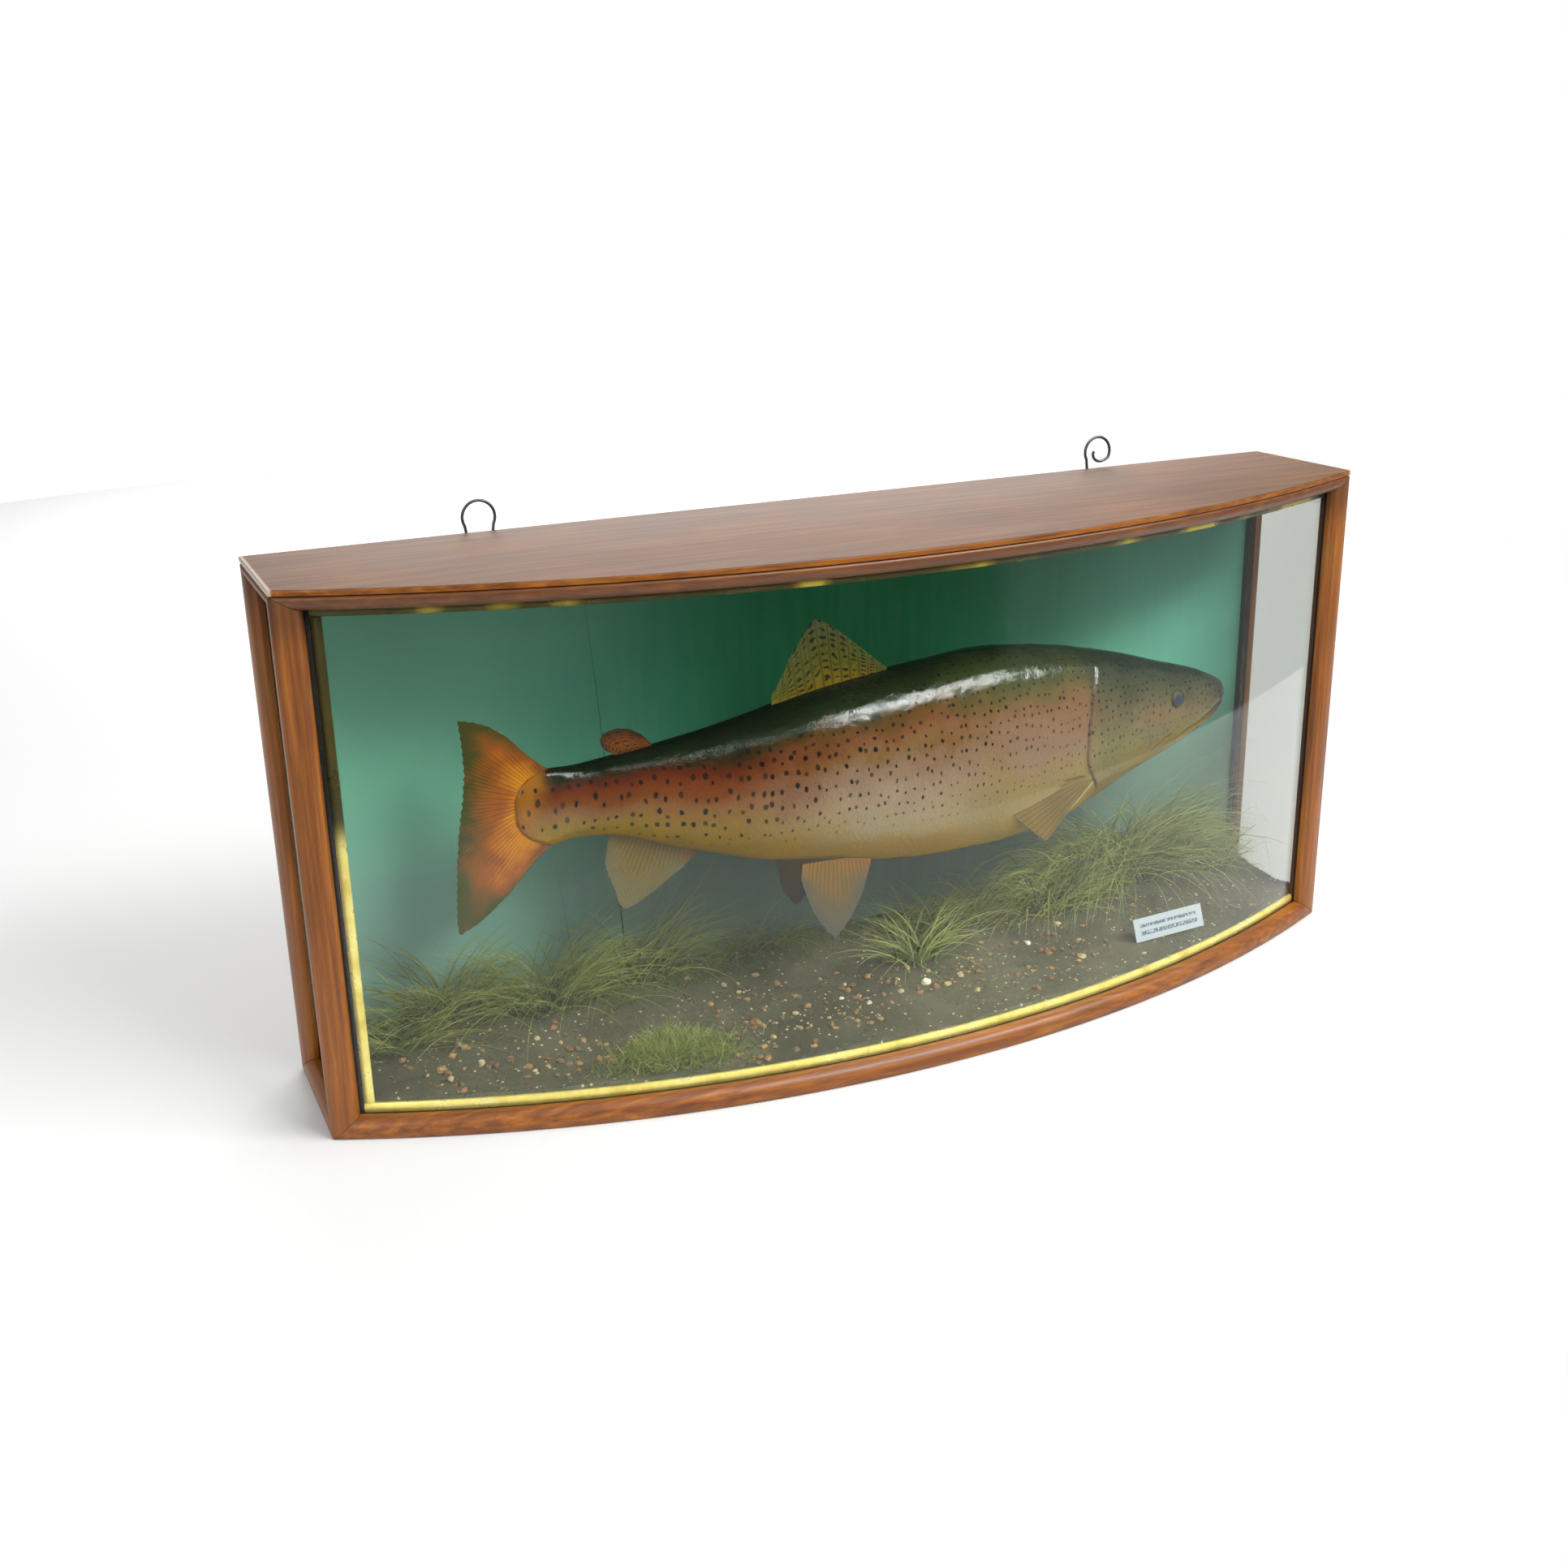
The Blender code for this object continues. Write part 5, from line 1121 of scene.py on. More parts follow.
def skin_relief(behind, turn):
    """How far the skin rises or sinks (mm), and how dark its creases are painted as shade."""
    points = flesh(behind, turn)
    x, z = points[..., 0], points[..., 2]
    flank = np.clip(np.abs(np.cos(turn)) * 3.0, 0.0, 1.0)
    relief = np.zeros(x.shape)
    crease_shade = np.zeros(x.shape)
    for line, depth, width, dark in (
            (MOUTH, 1.5, 1.3, 1.0), (JAW_HINGE, 0.9, 1.1, 0.6), (THROAT_LINE, 1.3, 1.1, 0.8),
            (COVER_FRONT, 0.55, 1.3, 0.16), (COVER_SPLIT, 0.35, 1.2, 0.10), (CHEEK_LINE, 0.35, 2.2, 0.05),
            (GULAR_LINES[0], 0.7, 0.9, 0.4), (GULAR_LINES[1], 0.7, 0.9, 0.4)):
        near = groove(from_line(x, z, line), width)
        relief -= depth * near * flank
        crease_shade = np.maximum(crease_shade, dark * groove(from_line(x, z, line), width * 0.75) * flank)
    relief += 0.30 * groove(from_line(x, z, UPPER_LIP), 1.7) * flank
    relief += 0.25 * groove(from_line(x, z, BROW_LINE), 2.0) * flank
    for nx, nz, size in NOSTRILS:
        pit = groove(np.hypot(x - nx, z - nz), size)
        relief -= 1.4 * pit * flank
        crease_shade = np.maximum(crease_shade, 0.9 * groove(np.hypot(x - nx, z - nz), size * 0.8))
    eye = np.hypot(x - EYE_X, z - EYE_Z)
    socket = 1.0 / (1.0 + np.exp((eye - 6.7) / 0.22))
    relief -= 2.8 * socket * flank
    relief += 0.32 * groove(eye - 7.9, 0.9) * flank - 0.55 * groove(eye - 11.0, 2.2) * flank
    crease_shade = np.maximum(crease_shade, 0.55 * groove(eye - 6.9, 0.6) * flank)
    # the gill cover's free edge stands over the shoulder behind it, with painted shade along it
    past = behind - gill_cut(turn)
    open_part = np.clip((np.abs(np.cos(turn)) - 0.55) * 4.0, 0.0, 1.0)
    step = np.where(past > 0, np.exp(-past / 4.5), 0.0)
    relief -= 2.0 * step * open_part
    relief -= 0.25 * groove(np.minimum(past, 0.0), 1.0) * (past <= 0) * open_part
    crease_shade = np.maximum(crease_shade, np.where(past > -0.2, np.exp(-np.abs(past) / 1.3), 0.0) * 0.95 * open_part)
    side_line = groove(turn_from_flank(turn) * 60.0, 0.9) * np.clip((behind - 165) / 10, 0, 1)
    relief -= 0.15 * side_line
    return relief, crease_shade


def turn_from_flank(turn):
    return np.arcsin(np.clip(np.sin(turn), -1, 1)) - 0.05


def markings(behind, turn):
    """The numbers that the paint follows: height on the body, place along it, flush and pallor."""
    points = flesh(behind, turn)
    x, z = points[..., 0], points[..., 2]
    band = (np.arcsin(np.clip(np.sin(turn), -1, 1)) + math.pi / 2) / math.pi
    along = behind / 640.0
    cheek = groove(np.hypot((x - 250.0) / 26.0, (z - 222.0) / 9.0), 1.0)
    shoulder = groove(np.hypot((x - 150.0) / 60.0, (z - 232.0) / 13.0), 1.0)
    blush = np.maximum(0.75 * cheek, 0.55 * shoulder)
    inside_cover = np.clip((gill_cut(turn) - behind) / 6.0, 0, 1) * np.clip((behind - 98.0) / 12.0, 0, 1)
    cover = 0.45 * inside_cover * groove((z - 205.0) / 20.0, 1.0)
    lip = 0.6 * groove(from_line(x, z, UPPER_LIP), 1.6) * (x < 330)
    return band, along, blush, np.maximum(cover, lip)


def unrolled_girth(behind, turn):
    """Millimetres round the body from the near flank, over the back to the far one."""
    back = np.interp(behind, STATIONS, BACK_LINE)
    belly = np.interp(behind, STATIONS, BELLY_LINE)
    half = np.interp(behind, STATIONS, WIDTH_LINE)
    unwound = (turn + math.pi / 2) % (2 * math.pi) - math.pi / 2
    return unwound * (half + (back - belly) / 2) / 2


def paint_values(mesh, behind, turn, crease_shade):
    band, along, blush, pale = markings(behind, turn)
    girth = unrolled_girth(behind, turn)
    for name, values in (("band", band), ("along", along), ("blush", blush), ("pale", pale),
                         ("crease_shade", crease_shade), ("back_from_snout", behind), ("girth", girth)):
        set_values(mesh, name, values.ravel())


FLESH_NODES = ("head", "lower_jaw", "gill_cover_left", "gill_cover_right", "trunk_front", "trunk_rear",
    "tail_wrist")


def build_skin():
    """One skin over the whole fish, from a grid rolled round the body plan."""
    head = np.linspace(0.0, 1.0, HEAD_STATIONS) ** 1.25 * 172.0
    body = np.linspace(172.0, FLESH_END, BODY_STATIONS + 1)[1:]
    stations = np.concatenate([head, body])
    bm = bmesh.new()
    bmesh.ops.create_grid(bm, x_segments=len(stations) - 1, y_segments=SKIN_AROUND, size=0.5)
    bm.verts.ensure_lookup_table()
    grid = np.array([v.co for v in bm.verts])
    row = np.rint((grid[:, 0] + 0.5) * (len(stations) - 1)).astype(int)
    turn = (grid[:, 1] + 0.5) * 2 * math.pi
    behind = stations[row]
    point, out, _, _ = flesh_frame(behind, turn, -SKIN_DEPTH)
    relief, _ = skin_relief(behind, turn)
    fade = np.clip(behind / 3.0, 0.0, 1.0) * np.clip((FLESH_END - behind) / 3.0, 0.0, 1.0)
    # the bare skin of the head comes up to the solids' surface, because no scales lie on it
    bare = np.clip((gill_cut(turn) - behind) / 3.0, 0.0, 1.0) * (SKIN_DEPTH - 0.1)
    placed = to_case(point + out * ((relief + bare) * fade)[:, None])
    for vert, co in zip(bm.verts, placed):
        vert.co = co
    bmesh.ops.remove_doubles(bm, verts=bm.verts, dist=0.00001)
    rims = [e for e in bm.edges if e.is_boundary]
    bmesh.ops.holes_fill(bm, edges=rims)
    mesh = mesh_from(bm, "trout_skin")
    co = np.zeros(len(mesh.vertices) * 3, np.float32)
    mesh.vertices.foreach_get("co", co)
    co = co.reshape(-1, 3)
    back_x = SNOUT_X - co[:, 0] * 1000
    station = np.clip(back_x, 0.0, FLESH_END)
    side_y = -(co[:, 1] - FISH_Y) * 1000
    turned = turn_of(station, side_y, co[:, 2] * 1000)
    _, crease_shade = skin_relief(station, turned)
    paint_values(mesh, station, turned, crease_shade)
    add_piece("trout_skin", mesh, fish_skin("varnished_skin", 0.9), FLESH_NODES, 0.0)


def turn_of(behind, y, z):
    """The turn round the body of a point in side and end view."""
    back = np.interp(behind, STATIONS, BACK_LINE)
    belly = np.interp(behind, STATIONS, BELLY_LINE)
    half = np.maximum(np.interp(behind, STATIONS, WIDTH_LINE), 0.1)
    level = belly + (back - belly) * WIDEST
    reach = np.maximum(np.where(z > level, back - level, level - belly), 0.1)
    up = np.clip(np.abs(z - level) / reach, 0.0, 1.4) ** (1 / SECTION_POWER) * np.sign(z - level)
    across = np.clip(np.abs(y) / half, 0.0, 1.4) ** (1 / SECTION_POWER) * np.sign(y)
    return np.arctan2(up, across)


# each stretch of scales: from, to (mm behind the snout), how many round the body, and their pitch
SCALE_STRETCHES = (("shoulder", 158.0, 300.0, 160, 3.1), ("flank", 300.0, 428.0, 160, 3.0),
                   ("loin", 428.0, 520.0, 120, 2.7), ("wrist", 520.0, 631.0, 84, 2.3))


def build_scales():
    """Overlapping scales laid in a brick pattern over the skin, joined stretch by stretch."""
    bm = bmesh.new()
    bmesh.ops.create_uvsphere(bm, u_segments=8, v_segments=2, radius=1.0)
    seed, seed_faces = seed_shape(bm)
    finish = fish_skin("varnished_scale", 0.95)
    for word, start, end, count, pitch in SCALE_STRETCHES:
        rows = np.arange(start, end, pitch)
        behind, turn = [], []
        for i, station in enumerate(rows):
            shift = 0.5 * (i % 2)
            behind.append(np.full(count, station))
            turn.append((np.arange(count) + shift) * 2 * math.pi / count)
        behind, turn = np.concatenate(behind), np.concatenate(turn)
        kept = behind > gill_cut(turn) + 1.8
        behind, turn = behind[kept], turn[kept]
        for side, chosen in (("right", np.cos(turn) >= 0), ("left", np.cos(turn) < 0)):
            scale_piece(f"scales_{word}_{side}", behind[chosen], turn[chosen], count, pitch, seed,
                seed_faces, finish)


def scale_piece(name, behind, turn, count, pitch, seed, seed_faces, finish):
    """One mesh of overlapping scales at the given places, facing the tail."""
    point, out, to_tail, around = flesh_frame(behind, turn, -SKIN_DEPTH)
    relief, crease_shade = skin_relief(behind, turn)
    point = point + out * relief[:, None]
    neighbour = flesh(behind, turn + 2 * math.pi / count, -SKIN_DEPTH)
    row_width = np.linalg.norm(neighbour - flesh(behind, turn, -SKIN_DEPTH), axis=-1)
    rng = np.random.default_rng(11)
    size = 1.0 + 0.10 * rng.standard_normal(len(behind)).clip(-2, 2)
    half_long = (pitch * 0.80 * size)[:, None, None]
    half_wide = (row_width * 0.60 * size)[:, None, None]
    # seed: X to the tail, Y round the body, Z out of it; the tail edge lifts over the next scale
    sx, sy, sz = seed[:, 0], seed[:, 1], seed[:, 2]
    dome = np.where(sz > 0.5, 0.05, np.where(sz < -0.5, -0.30, 0.0))
    lift = 0.07 + 0.07 * sx + dome
    lift = lift[None, :, None] + 0.015 * rng.standard_normal(len(behind))[:, None, None].clip(-1.5, 1.5)
    placed = (point[:, None, :] + to_tail[:, None, :] * (sx[None, :, None] + 0.25) * half_long
              + around[:, None, :] * sy[None, :, None] * half_wide + out[:, None, :] * lift)
    total = len(behind)
    if np.sum(np.cross(to_tail, around) * out) < 0:
        seed_faces = seed_faces[:, ::-1]
    faces = (seed_faces[None] + (np.arange(total) * len(seed))[:, None, None]).reshape(-1, 3)
    mesh = mesh_from_arrays(name, to_case(placed).reshape(-1, 3), faces)
    each = len(seed)
    station = np.clip((behind[:, None] + (sx[None] + 0.25) * half_long[:, 0]).ravel(), 0.0, FLESH_END)
    radius = np.maximum(row_width * count / (2 * math.pi), 1.0)
    turned = (turn[:, None] + sy[None] * (half_wide[:, 0, 0] / radius)[:, None]).ravel()
    paint_values(mesh, station, turned, np.repeat(crease_shade, each))
    # each scale's own small patch, at its root's place on the unrolled skin
    u = behind / 660.0 + 0.01
    v = (turn / (2 * math.pi)) % 1.0 * 0.98 + 0.01
    patch = np.stack([u[:, None] + sx[None] * 0.0015, v[:, None] + sy[None] * 0.0015], axis=-1).reshape(-1, 2)
    layer = mesh.uv_layers.new(name="OFBake")
    layer.data.foreach_set("uv", patch[faces.ravel()].astype(np.float32).ravel())
    add_piece(name, mesh, finish, (), 50.0)


# ---- fins ---------------------------------------------------------------------------------------
def even_along(points, share):
    """Points at even shares of the length of a broken line."""
    line = np.array(points, float)
    lengths = np.concatenate([[0.0], np.cumsum(np.linalg.norm(np.diff(line, axis=0), axis=1))])
    at = share * lengths[-1]
    return np.stack([np.interp(at, lengths, line[:, 0]), np.interp(at, lengths, line[:, 1])], axis=-1)


def fin_piece(name, root, edge, rays, thick, finish, replaces, seat=(0.0, 0.0), splay=0.0, cup=0.0,
              ragged=1.0):
    """A fin of bony rays from its root line to its outer edge, both drawn front to back in side view.

    seat is how far its plane stands out (mm) and the height it splays about; cup bends it sideways.
    """
    across_steps, out_steps = rays * 6, 30
    bm = bmesh.new()
    bmesh.ops.create_grid(bm, x_segments=across_steps, y_segments=out_steps, size=0.5)
    grown = bmesh.ops.extrude_face_region(bm, geom=bm.faces[:])
    bmesh.ops.translate(bm, verts=[v for v in grown["geom"] if isinstance(v, bmesh.types.BMVert)],
        vec=(0, 0, 1))
    bm.verts.ensure_lookup_table()
    grid = np.array([v.co for v in bm.verts])
    across, reach, face = grid[:, 0] + 0.5, grid[:, 1] + 0.5, grid[:, 2] * 2 - 1
    inner, outer = even_along(root, across), even_along(edge, across)
    ray = np.abs(np.cos(across * rays * math.pi))
    forked = np.abs(np.cos(across * rays * 2 * math.pi))
    ridge = ray * (1 - reach) + forked * reach
    # the membrane is eaten back a little between the ray tips
    length = np.linalg.norm(outer - inner, axis=1)
    rng = np.random.default_rng(len(name))
    nibble = np.interp(across, np.linspace(0, 1, rays * 2 + 1), rng.random(rays * 2 + 1))
    short = ragged * (0.5 + 1.6 * nibble) * (1 - forked ** 2) / np.maximum(length, 1.0)
    out = reach * (1 - short * reach ** 6)
    flat = inner + (outer - inner) * out[:, None]
    half = thick * (0.42 + 0.58 * ridge ** 3) * (1.0 - 0.72 * reach) + 0.16
    lead = groove(across, 0.05) * thick * 0.5 * (1 - 0.6 * reach)
    flutter = 0.25 * np.sin(across * 9 + reach * 5) * reach
    side = face * (half + lead) + cup * reach ** 2 * np.sin(math.pi * across) + flutter
    y, z = side, flat[:, 1]
    offset, pivot = seat
    turned_y = y * math.cos(splay) - (z - pivot) * math.sin(splay)
    turned_z = pivot + y * math.sin(splay) + (z - pivot) * math.cos(splay)
    placed = to_case(np.stack([flat[:, 0], turned_y + offset, turned_z], axis=-1))
    for vert, co in zip(bm.verts, placed):
        vert.co = co
    bmesh.ops.recalc_face_normals(bm, faces=bm.faces)
    mesh = mesh_from(bm, name, tidy=False)
    set_values(mesh, "across", across)
    set_values(mesh, "reach", out)
    add_piece(name, mesh, finish, replaces, 60.0)


def build_fins():
    """Every fin, by its root and outer edge in mm on the fish."""
    tail_root = ((-262, 249), (-268, 244), (-278, 238), (-283, 230), (-285, 221), (-283, 212), (-278, 204),
                 (-268, 197), (-262, 193))
    tail_edge = ((-274, 258.5), (-284, 269.5), (-293, 279.8), (-306, 289.6), (-318, 294.4),
        (-327.4, 296.4), (-327, 288), (-326, 275), (-326, 258), (-328, 240), (-331.5, 222),
        (-334.5, 204), (-337.5, 180), (-339.5, 158), (-340.4, 142), (-339.6, 131.6), (-325, 138.4),
        (-312, 147.5), (-300, 157.4), (-290, 167.4), (-280, 178.6), (-270, 187))
    tail = fin_finish("tail_fin_paint", "#b27000", "#844404", "#34380a", 44.0, 0.0, "#683804")
    fin_piece("tail_fin_rayed", tail_root, tail_edge, 26, 0.80, tail, ("tail_fin",), cup=1.0, ragged=0.9)
    dorsal = fin_finish("dorsal_fin_paint", "#765e02", "#5a5810", "#5c622a", 13.0, 0.95)
    fin_piece("dorsal_fin_rayed", ((14.5, 286.5), (-35, 281), (-78, 274), (-84.5, 273)),
              ((16, 290.4), (6, 297.6), (-8, 309.6), (-22, 321.6), (-36, 332.6), (-47.6, 338), (-54, 330.5),
               (-60, 320.6), (-68, 310.6), (-73, 298.6), (-77.6, 290), (-83.6, 281)), 13, 0.60, dorsal,
              ("dorsal_fin",), cup=-1.5)
    adipose = fin_finish("adipose_fin_paint", "#3a2404", "#6a3606", "#2a1804", 7.0, 0.95)
    fin_piece("adipose_fin_fleshy", ((-184, 254), (-196, 252.5), (-210, 251.5)),
              ((-183, 257.5), (-190, 265.5), (-200, 271.6), (-211, 273.1), (-219.6, 271.2), (-223.4, 265),
               (-220.6, 258.4), (-214, 254.4)), 2, 1.0, adipose, ("adipose_fin",), ragged=0.0)
    anal = fin_finish("anal_fin_paint", "#5a4804", "#5e4c16", "#5a5434", 22.0, 0.0, None, "#6e4204")
    fin_piece("anal_fin_rayed", ((-150.5, 170), (-178, 183), (-218, 193)),
        ((-150, 163.5), (-163, 152.4), (-177, 143.4), (-190, 135.5), (-204, 128.4), (-210.6, 127),
            (-214.6, 132.4), (-217.6, 144.2), (-221.6, 156), (-224.6, 168), (-221.6, 184.5)), 12, 0.6,
        anal, ("anal_fin",), cup=1.0)
    pelvic = fin_finish("pelvic_fin_paint", "#6c4a0e", "#54441a", "#3e3d36", 18.0, 0.0, None, "#6e4410")
    pectoral = fin_finish("pectoral_fin_paint", "#6a5808", "#5c4810", "#6a5418", 11.0, 0.0, None, "#b09c5a")
    for side, word in ((-1, "right"), (1, "left")):
        fin_piece(f"pelvic_fin_{word}_rayed", ((-10.5, 141), (-34, 145), (-70, 146)),
            ((-11.4, 137), (-16.4, 125), (-21.4, 114), (-28.4, 104), (-36.4, 94.4), (-49.6, 82.6),
                (-55.6, 89.4), (-61.6, 98.2), (-66.6, 108.2), (-69.6, 120), (-72.6, 134)), 9, 0.6,
            pelvic, (f"pelvic_fin_{word}",), (side * 22.0, 140.0), side * math.radians(14), side * 1.5)
        fin_piece(f"pectoral_fin_{word}_rayed", ((187.6, 177), (186, 181), (178, 184)),
            ((172.4, 160.4), (156.4, 144.4), (147, 129.8), (135.4, 138.6), (122.4, 150.4),
                (111.4, 160.4), (106.6, 173), (110.6, 183.4), (135, 186)), 11, 0.6, pectoral,
            (f"pectoral_fin_{word}",), (side * 37.5, 180.0), side * math.radians(-6), side * 0.8)


def build_eyes():
    """Glass eyes set square to the skin, with a number that grows out from the pupil."""
    finish = eye_finish()
    behind = np.array(SNOUT_X - EYE_X)
    back, belly = np.interp(behind, STATIONS, BACK_LINE), np.interp(behind, STATIONS, BELLY_LINE)
    level = belly + (back - belly) * WIDEST
    turn = math.asin(((EYE_Z - level) / (back - level)) ** (1 / SECTION_POWER))
    for word, angle in (("right", turn), ("left", math.pi - turn)):
        point, out, _, _ = flesh_frame(behind, np.array(angle))
        facing = Vector(out)
        centre = Vector(to_case(point)) - facing * EYE_SINK / 1000
        bm = bmesh.new()
        bmesh.ops.create_uvsphere(bm, u_segments=48, v_segments=28, radius=1.0)
        from_pupil = [math.acos(max(-1.0, min(1.0, v.co.z))) / (math.pi / 2) for v in bm.verts]
        size = Matrix.Diagonal((EYE_R / 1000, EYE_R / 1000, EYE_BULGE_R / 1000, 1.0))
        place = Matrix.Translation(centre) @ facing.to_track_quat("Z", "Y").to_matrix().to_4x4() @ size
        bmesh.ops.transform(bm, matrix=place, verts=bm.verts)
        mesh = mesh_from(bm, f"eye_{word}")
        set_values(mesh, "from_pupil", from_pupil)
        add_piece(f"eye_{word}_glass", mesh, finish, (f"eye_{word}",), 0.0)


# ---- the riverbed -------------------------------------------------------------------------------
LABEL_PAD = 0.055
BED_LEVEL = 0.0235
BED_HALF = 0.4340
BED_CLEAR_X = 0.410
BED_CLEAR = 0.0035
MOSS = (-0.196, Y_CORNER - 0.034)


def bed_height(x, y):
    """The riverbed's height in metres: a low swell, level under the label."""
    back = (y - Y_CORNER) / SIDE_DEPTH
    swell = 0.0022 * math.sin(x * 17.0 + 1.1) + 0.0016 * math.sin(x * 31.0 - y * 40.0)
    level = BED_LEVEL + swell + 0.009 * max(0.0, back) ** 1.5
    away = math.hypot(x - LABEL_AT[0], (y - LABEL_AT[1]) * 2.0)
    blend = min(1.0, max(0.0, (away - LABEL_PAD) / 0.05))
    blend = blend * blend * (3 - 2 * blend)
    floor = LABEL_AT[2] - GAP
    return floor + (level - floor) * blend, blend


def ground_height(x, y):
    """The finished ground: the moulded bed with lumps, ripples and grit."""
    level, blend = bed_height(x, y)
    at = Vector((x, y, 0.0))
    lumps = 0.0030 * noise.noise(at * 22) + 0.0016 * noise.noise(at * 60 + Vector((3, 1, 0)))
    grit = 0.0009 * noise.noise(at * 210) + 0.0005 * noise.noise(at * 480)
    moss = math.exp(-(((x - MOSS[0]) / 0.045) ** 2 + ((y - MOSS[1]) / 0.026) ** 2))
    return level + lumps * (0.25 + 0.75 * blend) + grit + 0.004 * moss - 0.0008


def build_bed():
    bm = bmesh.new()
    bmesh.ops.create_grid(bm, x_segments=BED_COLUMNS, y_segments=BED_ROWS, size=1.0)
    y_back = Y_REAR - BACK_THICK - GAP
    for vert in bm.verts:
        x = vert.co.x * BED_HALF
        y_front = ARC_Y - math.sqrt((ARC_R - BED_V) ** 2 - x * x)
        y_front += BED_CLEAR * max(0.0, (abs(x) - BED_CLEAR_X) / (BED_HALF - BED_CLEAR_X))
        y = y_front + (y_back - y_front) * (vert.co.y + 1) / 2
        vert.co = (x, y, ground_height(x, y))
    rims = [e for e in bm.edges if e.is_boundary]
    skirt = bmesh.ops.extrude_edge_only(bm, edges=rims)
    lower = [v for v in skirt["geom"] if isinstance(v, bmesh.types.BMVert)]
    for vert in lower:
        vert.co.z = BOTTOM_THICK + GAP
    bmesh.ops.holes_fill(bm, edges=[e for e in bm.edges if e.is_boundary])
    mesh = mesh_from(bm, "groundwork")
    co = np.zeros(len(mesh.vertices) * 3, np.float32)
    mesh.vertices.foreach_get("co", co)
    co = co.reshape(-1, 3)
    moss = np.exp(-(((co[:, 0] - MOSS[0]) / 0.05) ** 2 + ((co[:, 1] - MOSS[1]) / 0.03) ** 2))
    bank = np.clip((co[:, 1] - 0.035) / 0.05, 0, 1) * 0.75
    set_values(mesh, "moss", np.maximum(moss, bank))
    add_piece("groundwork", mesh, bed_finish(), ("riverbed",), 0.0)


def inside_bed(x, y, margin=0.004):
    if abs(x) > BED_HALF - margin - 0.008:
        return False
    front = ARC_Y - math.sqrt((ARC_R - BED_V) ** 2 - x * x)
    return front + margin < y < Y_REAR - BACK_THICK - margin


# the pebbles that show most: place, size in mm and tone from dark grey-brown (0) to white (1)
STONES = (((-0.362, 0.006), 8, 0.62), ((-0.332, 0.004), 6, 0.86), ((-0.283, 0.022), 5, 0.84),
    ((-0.342, 0.058), 6, 0.55), ((-0.3, -0.012), 6, 0.5), ((-0.286, -0.016), 5, 0.7),
    ((-0.275, -0.011), 6, 0.42), ((-0.262, -0.018), 5, 0.64), ((-0.207, -0.044), 5, 0.72),
    ((-0.199, -0.047), 4, 0.58), ((-0.239, -0.035), 4, 0.5), ((-0.116, -0.02), 11, 0.47),
    ((-0.108, 0.016), 5, 0.6), ((-0.112, -0.045), 5, 0.74), ((-0.037, -0.014), 5, 0.97),
    ((-0.023, -0.036), 5, 0.96), ((-0.008, -0.046), 4, 0.62), ((0.034, -0.027), 8, 0.98),
    ((0.038, -0.036), 6, 0.46), ((0.05, -0.034), 6, 0.82), ((0.068, -0.052), 6, 0.84),
    ((0.155, 0.01), 6, 0.99), ((0.2, -0.001), 4, 0.7), ((0.18, -0.036), 7, 0.84),
    ((0.191, -0.037), 5, 0.44), ((0.128, -0.034), 5, 0.64), ((0.312, -0.01), 5, 0.74),
    ((0.315, -0.018), 4, 0.88), ((-0.066, -0.06), 4, 0.66), ((-0.15, -0.062), 5, 0.56),
    ((0.232, -0.052), 4, 0.9), ((0.362, 0.004), 5, 0.52), ((-0.322, -0.004), 5, 0.36),
    ((-0.385, 0.036), 6, 0.58), ((0.093, 0.0), 4, 0.78), ((0.006, -0.012), 5, 0.4))


def stone_mesh(name, stones, subdivisions, seed, finish):
    """Water-worn pebbles, each a lumpy, flattened ball bedded in the ground."""
    bm = bmesh.new()
    bmesh.ops.create_icosphere(bm, subdivisions=subdivisions, radius=1.0)
    ball, ball_faces = seed_shape(bm)
    rng = np.random.default_rng(seed)
    points, tones = [], []
    for (x, y), size, tone in stones:
        turn = (Matrix.Rotation(rng.random() * 6.28, 3, "Z")
                @ Matrix.Rotation((rng.random() - 0.5) * 0.7, 3, "X"))
        shape = ball * (1 + 0.16 * rng.standard_normal((len(ball), 1)).clip(-1.5, 1.5))
        shape = shape * np.array([1.0, 0.62 + 0.3 * rng.random(), 0.48 + 0.25 * rng.random()]) * size / 2000
        shape = shape @ np.array(turn).T
        points.append(shape + np.array([x, y, ground_height(x, y) + size * 0.00012]))
        tones.append(np.full(len(ball), tone))
    faces = (ball_faces[None] + (np.arange(len(stones)) * len(ball))[:, None, None]).reshape(-1, 3)
    mesh = mesh_from_arrays(name, np.concatenate(points), faces)
    set_values(mesh, "tone", np.concatenate(tones))
    add_piece(name, mesh, finish, (), 60.0)


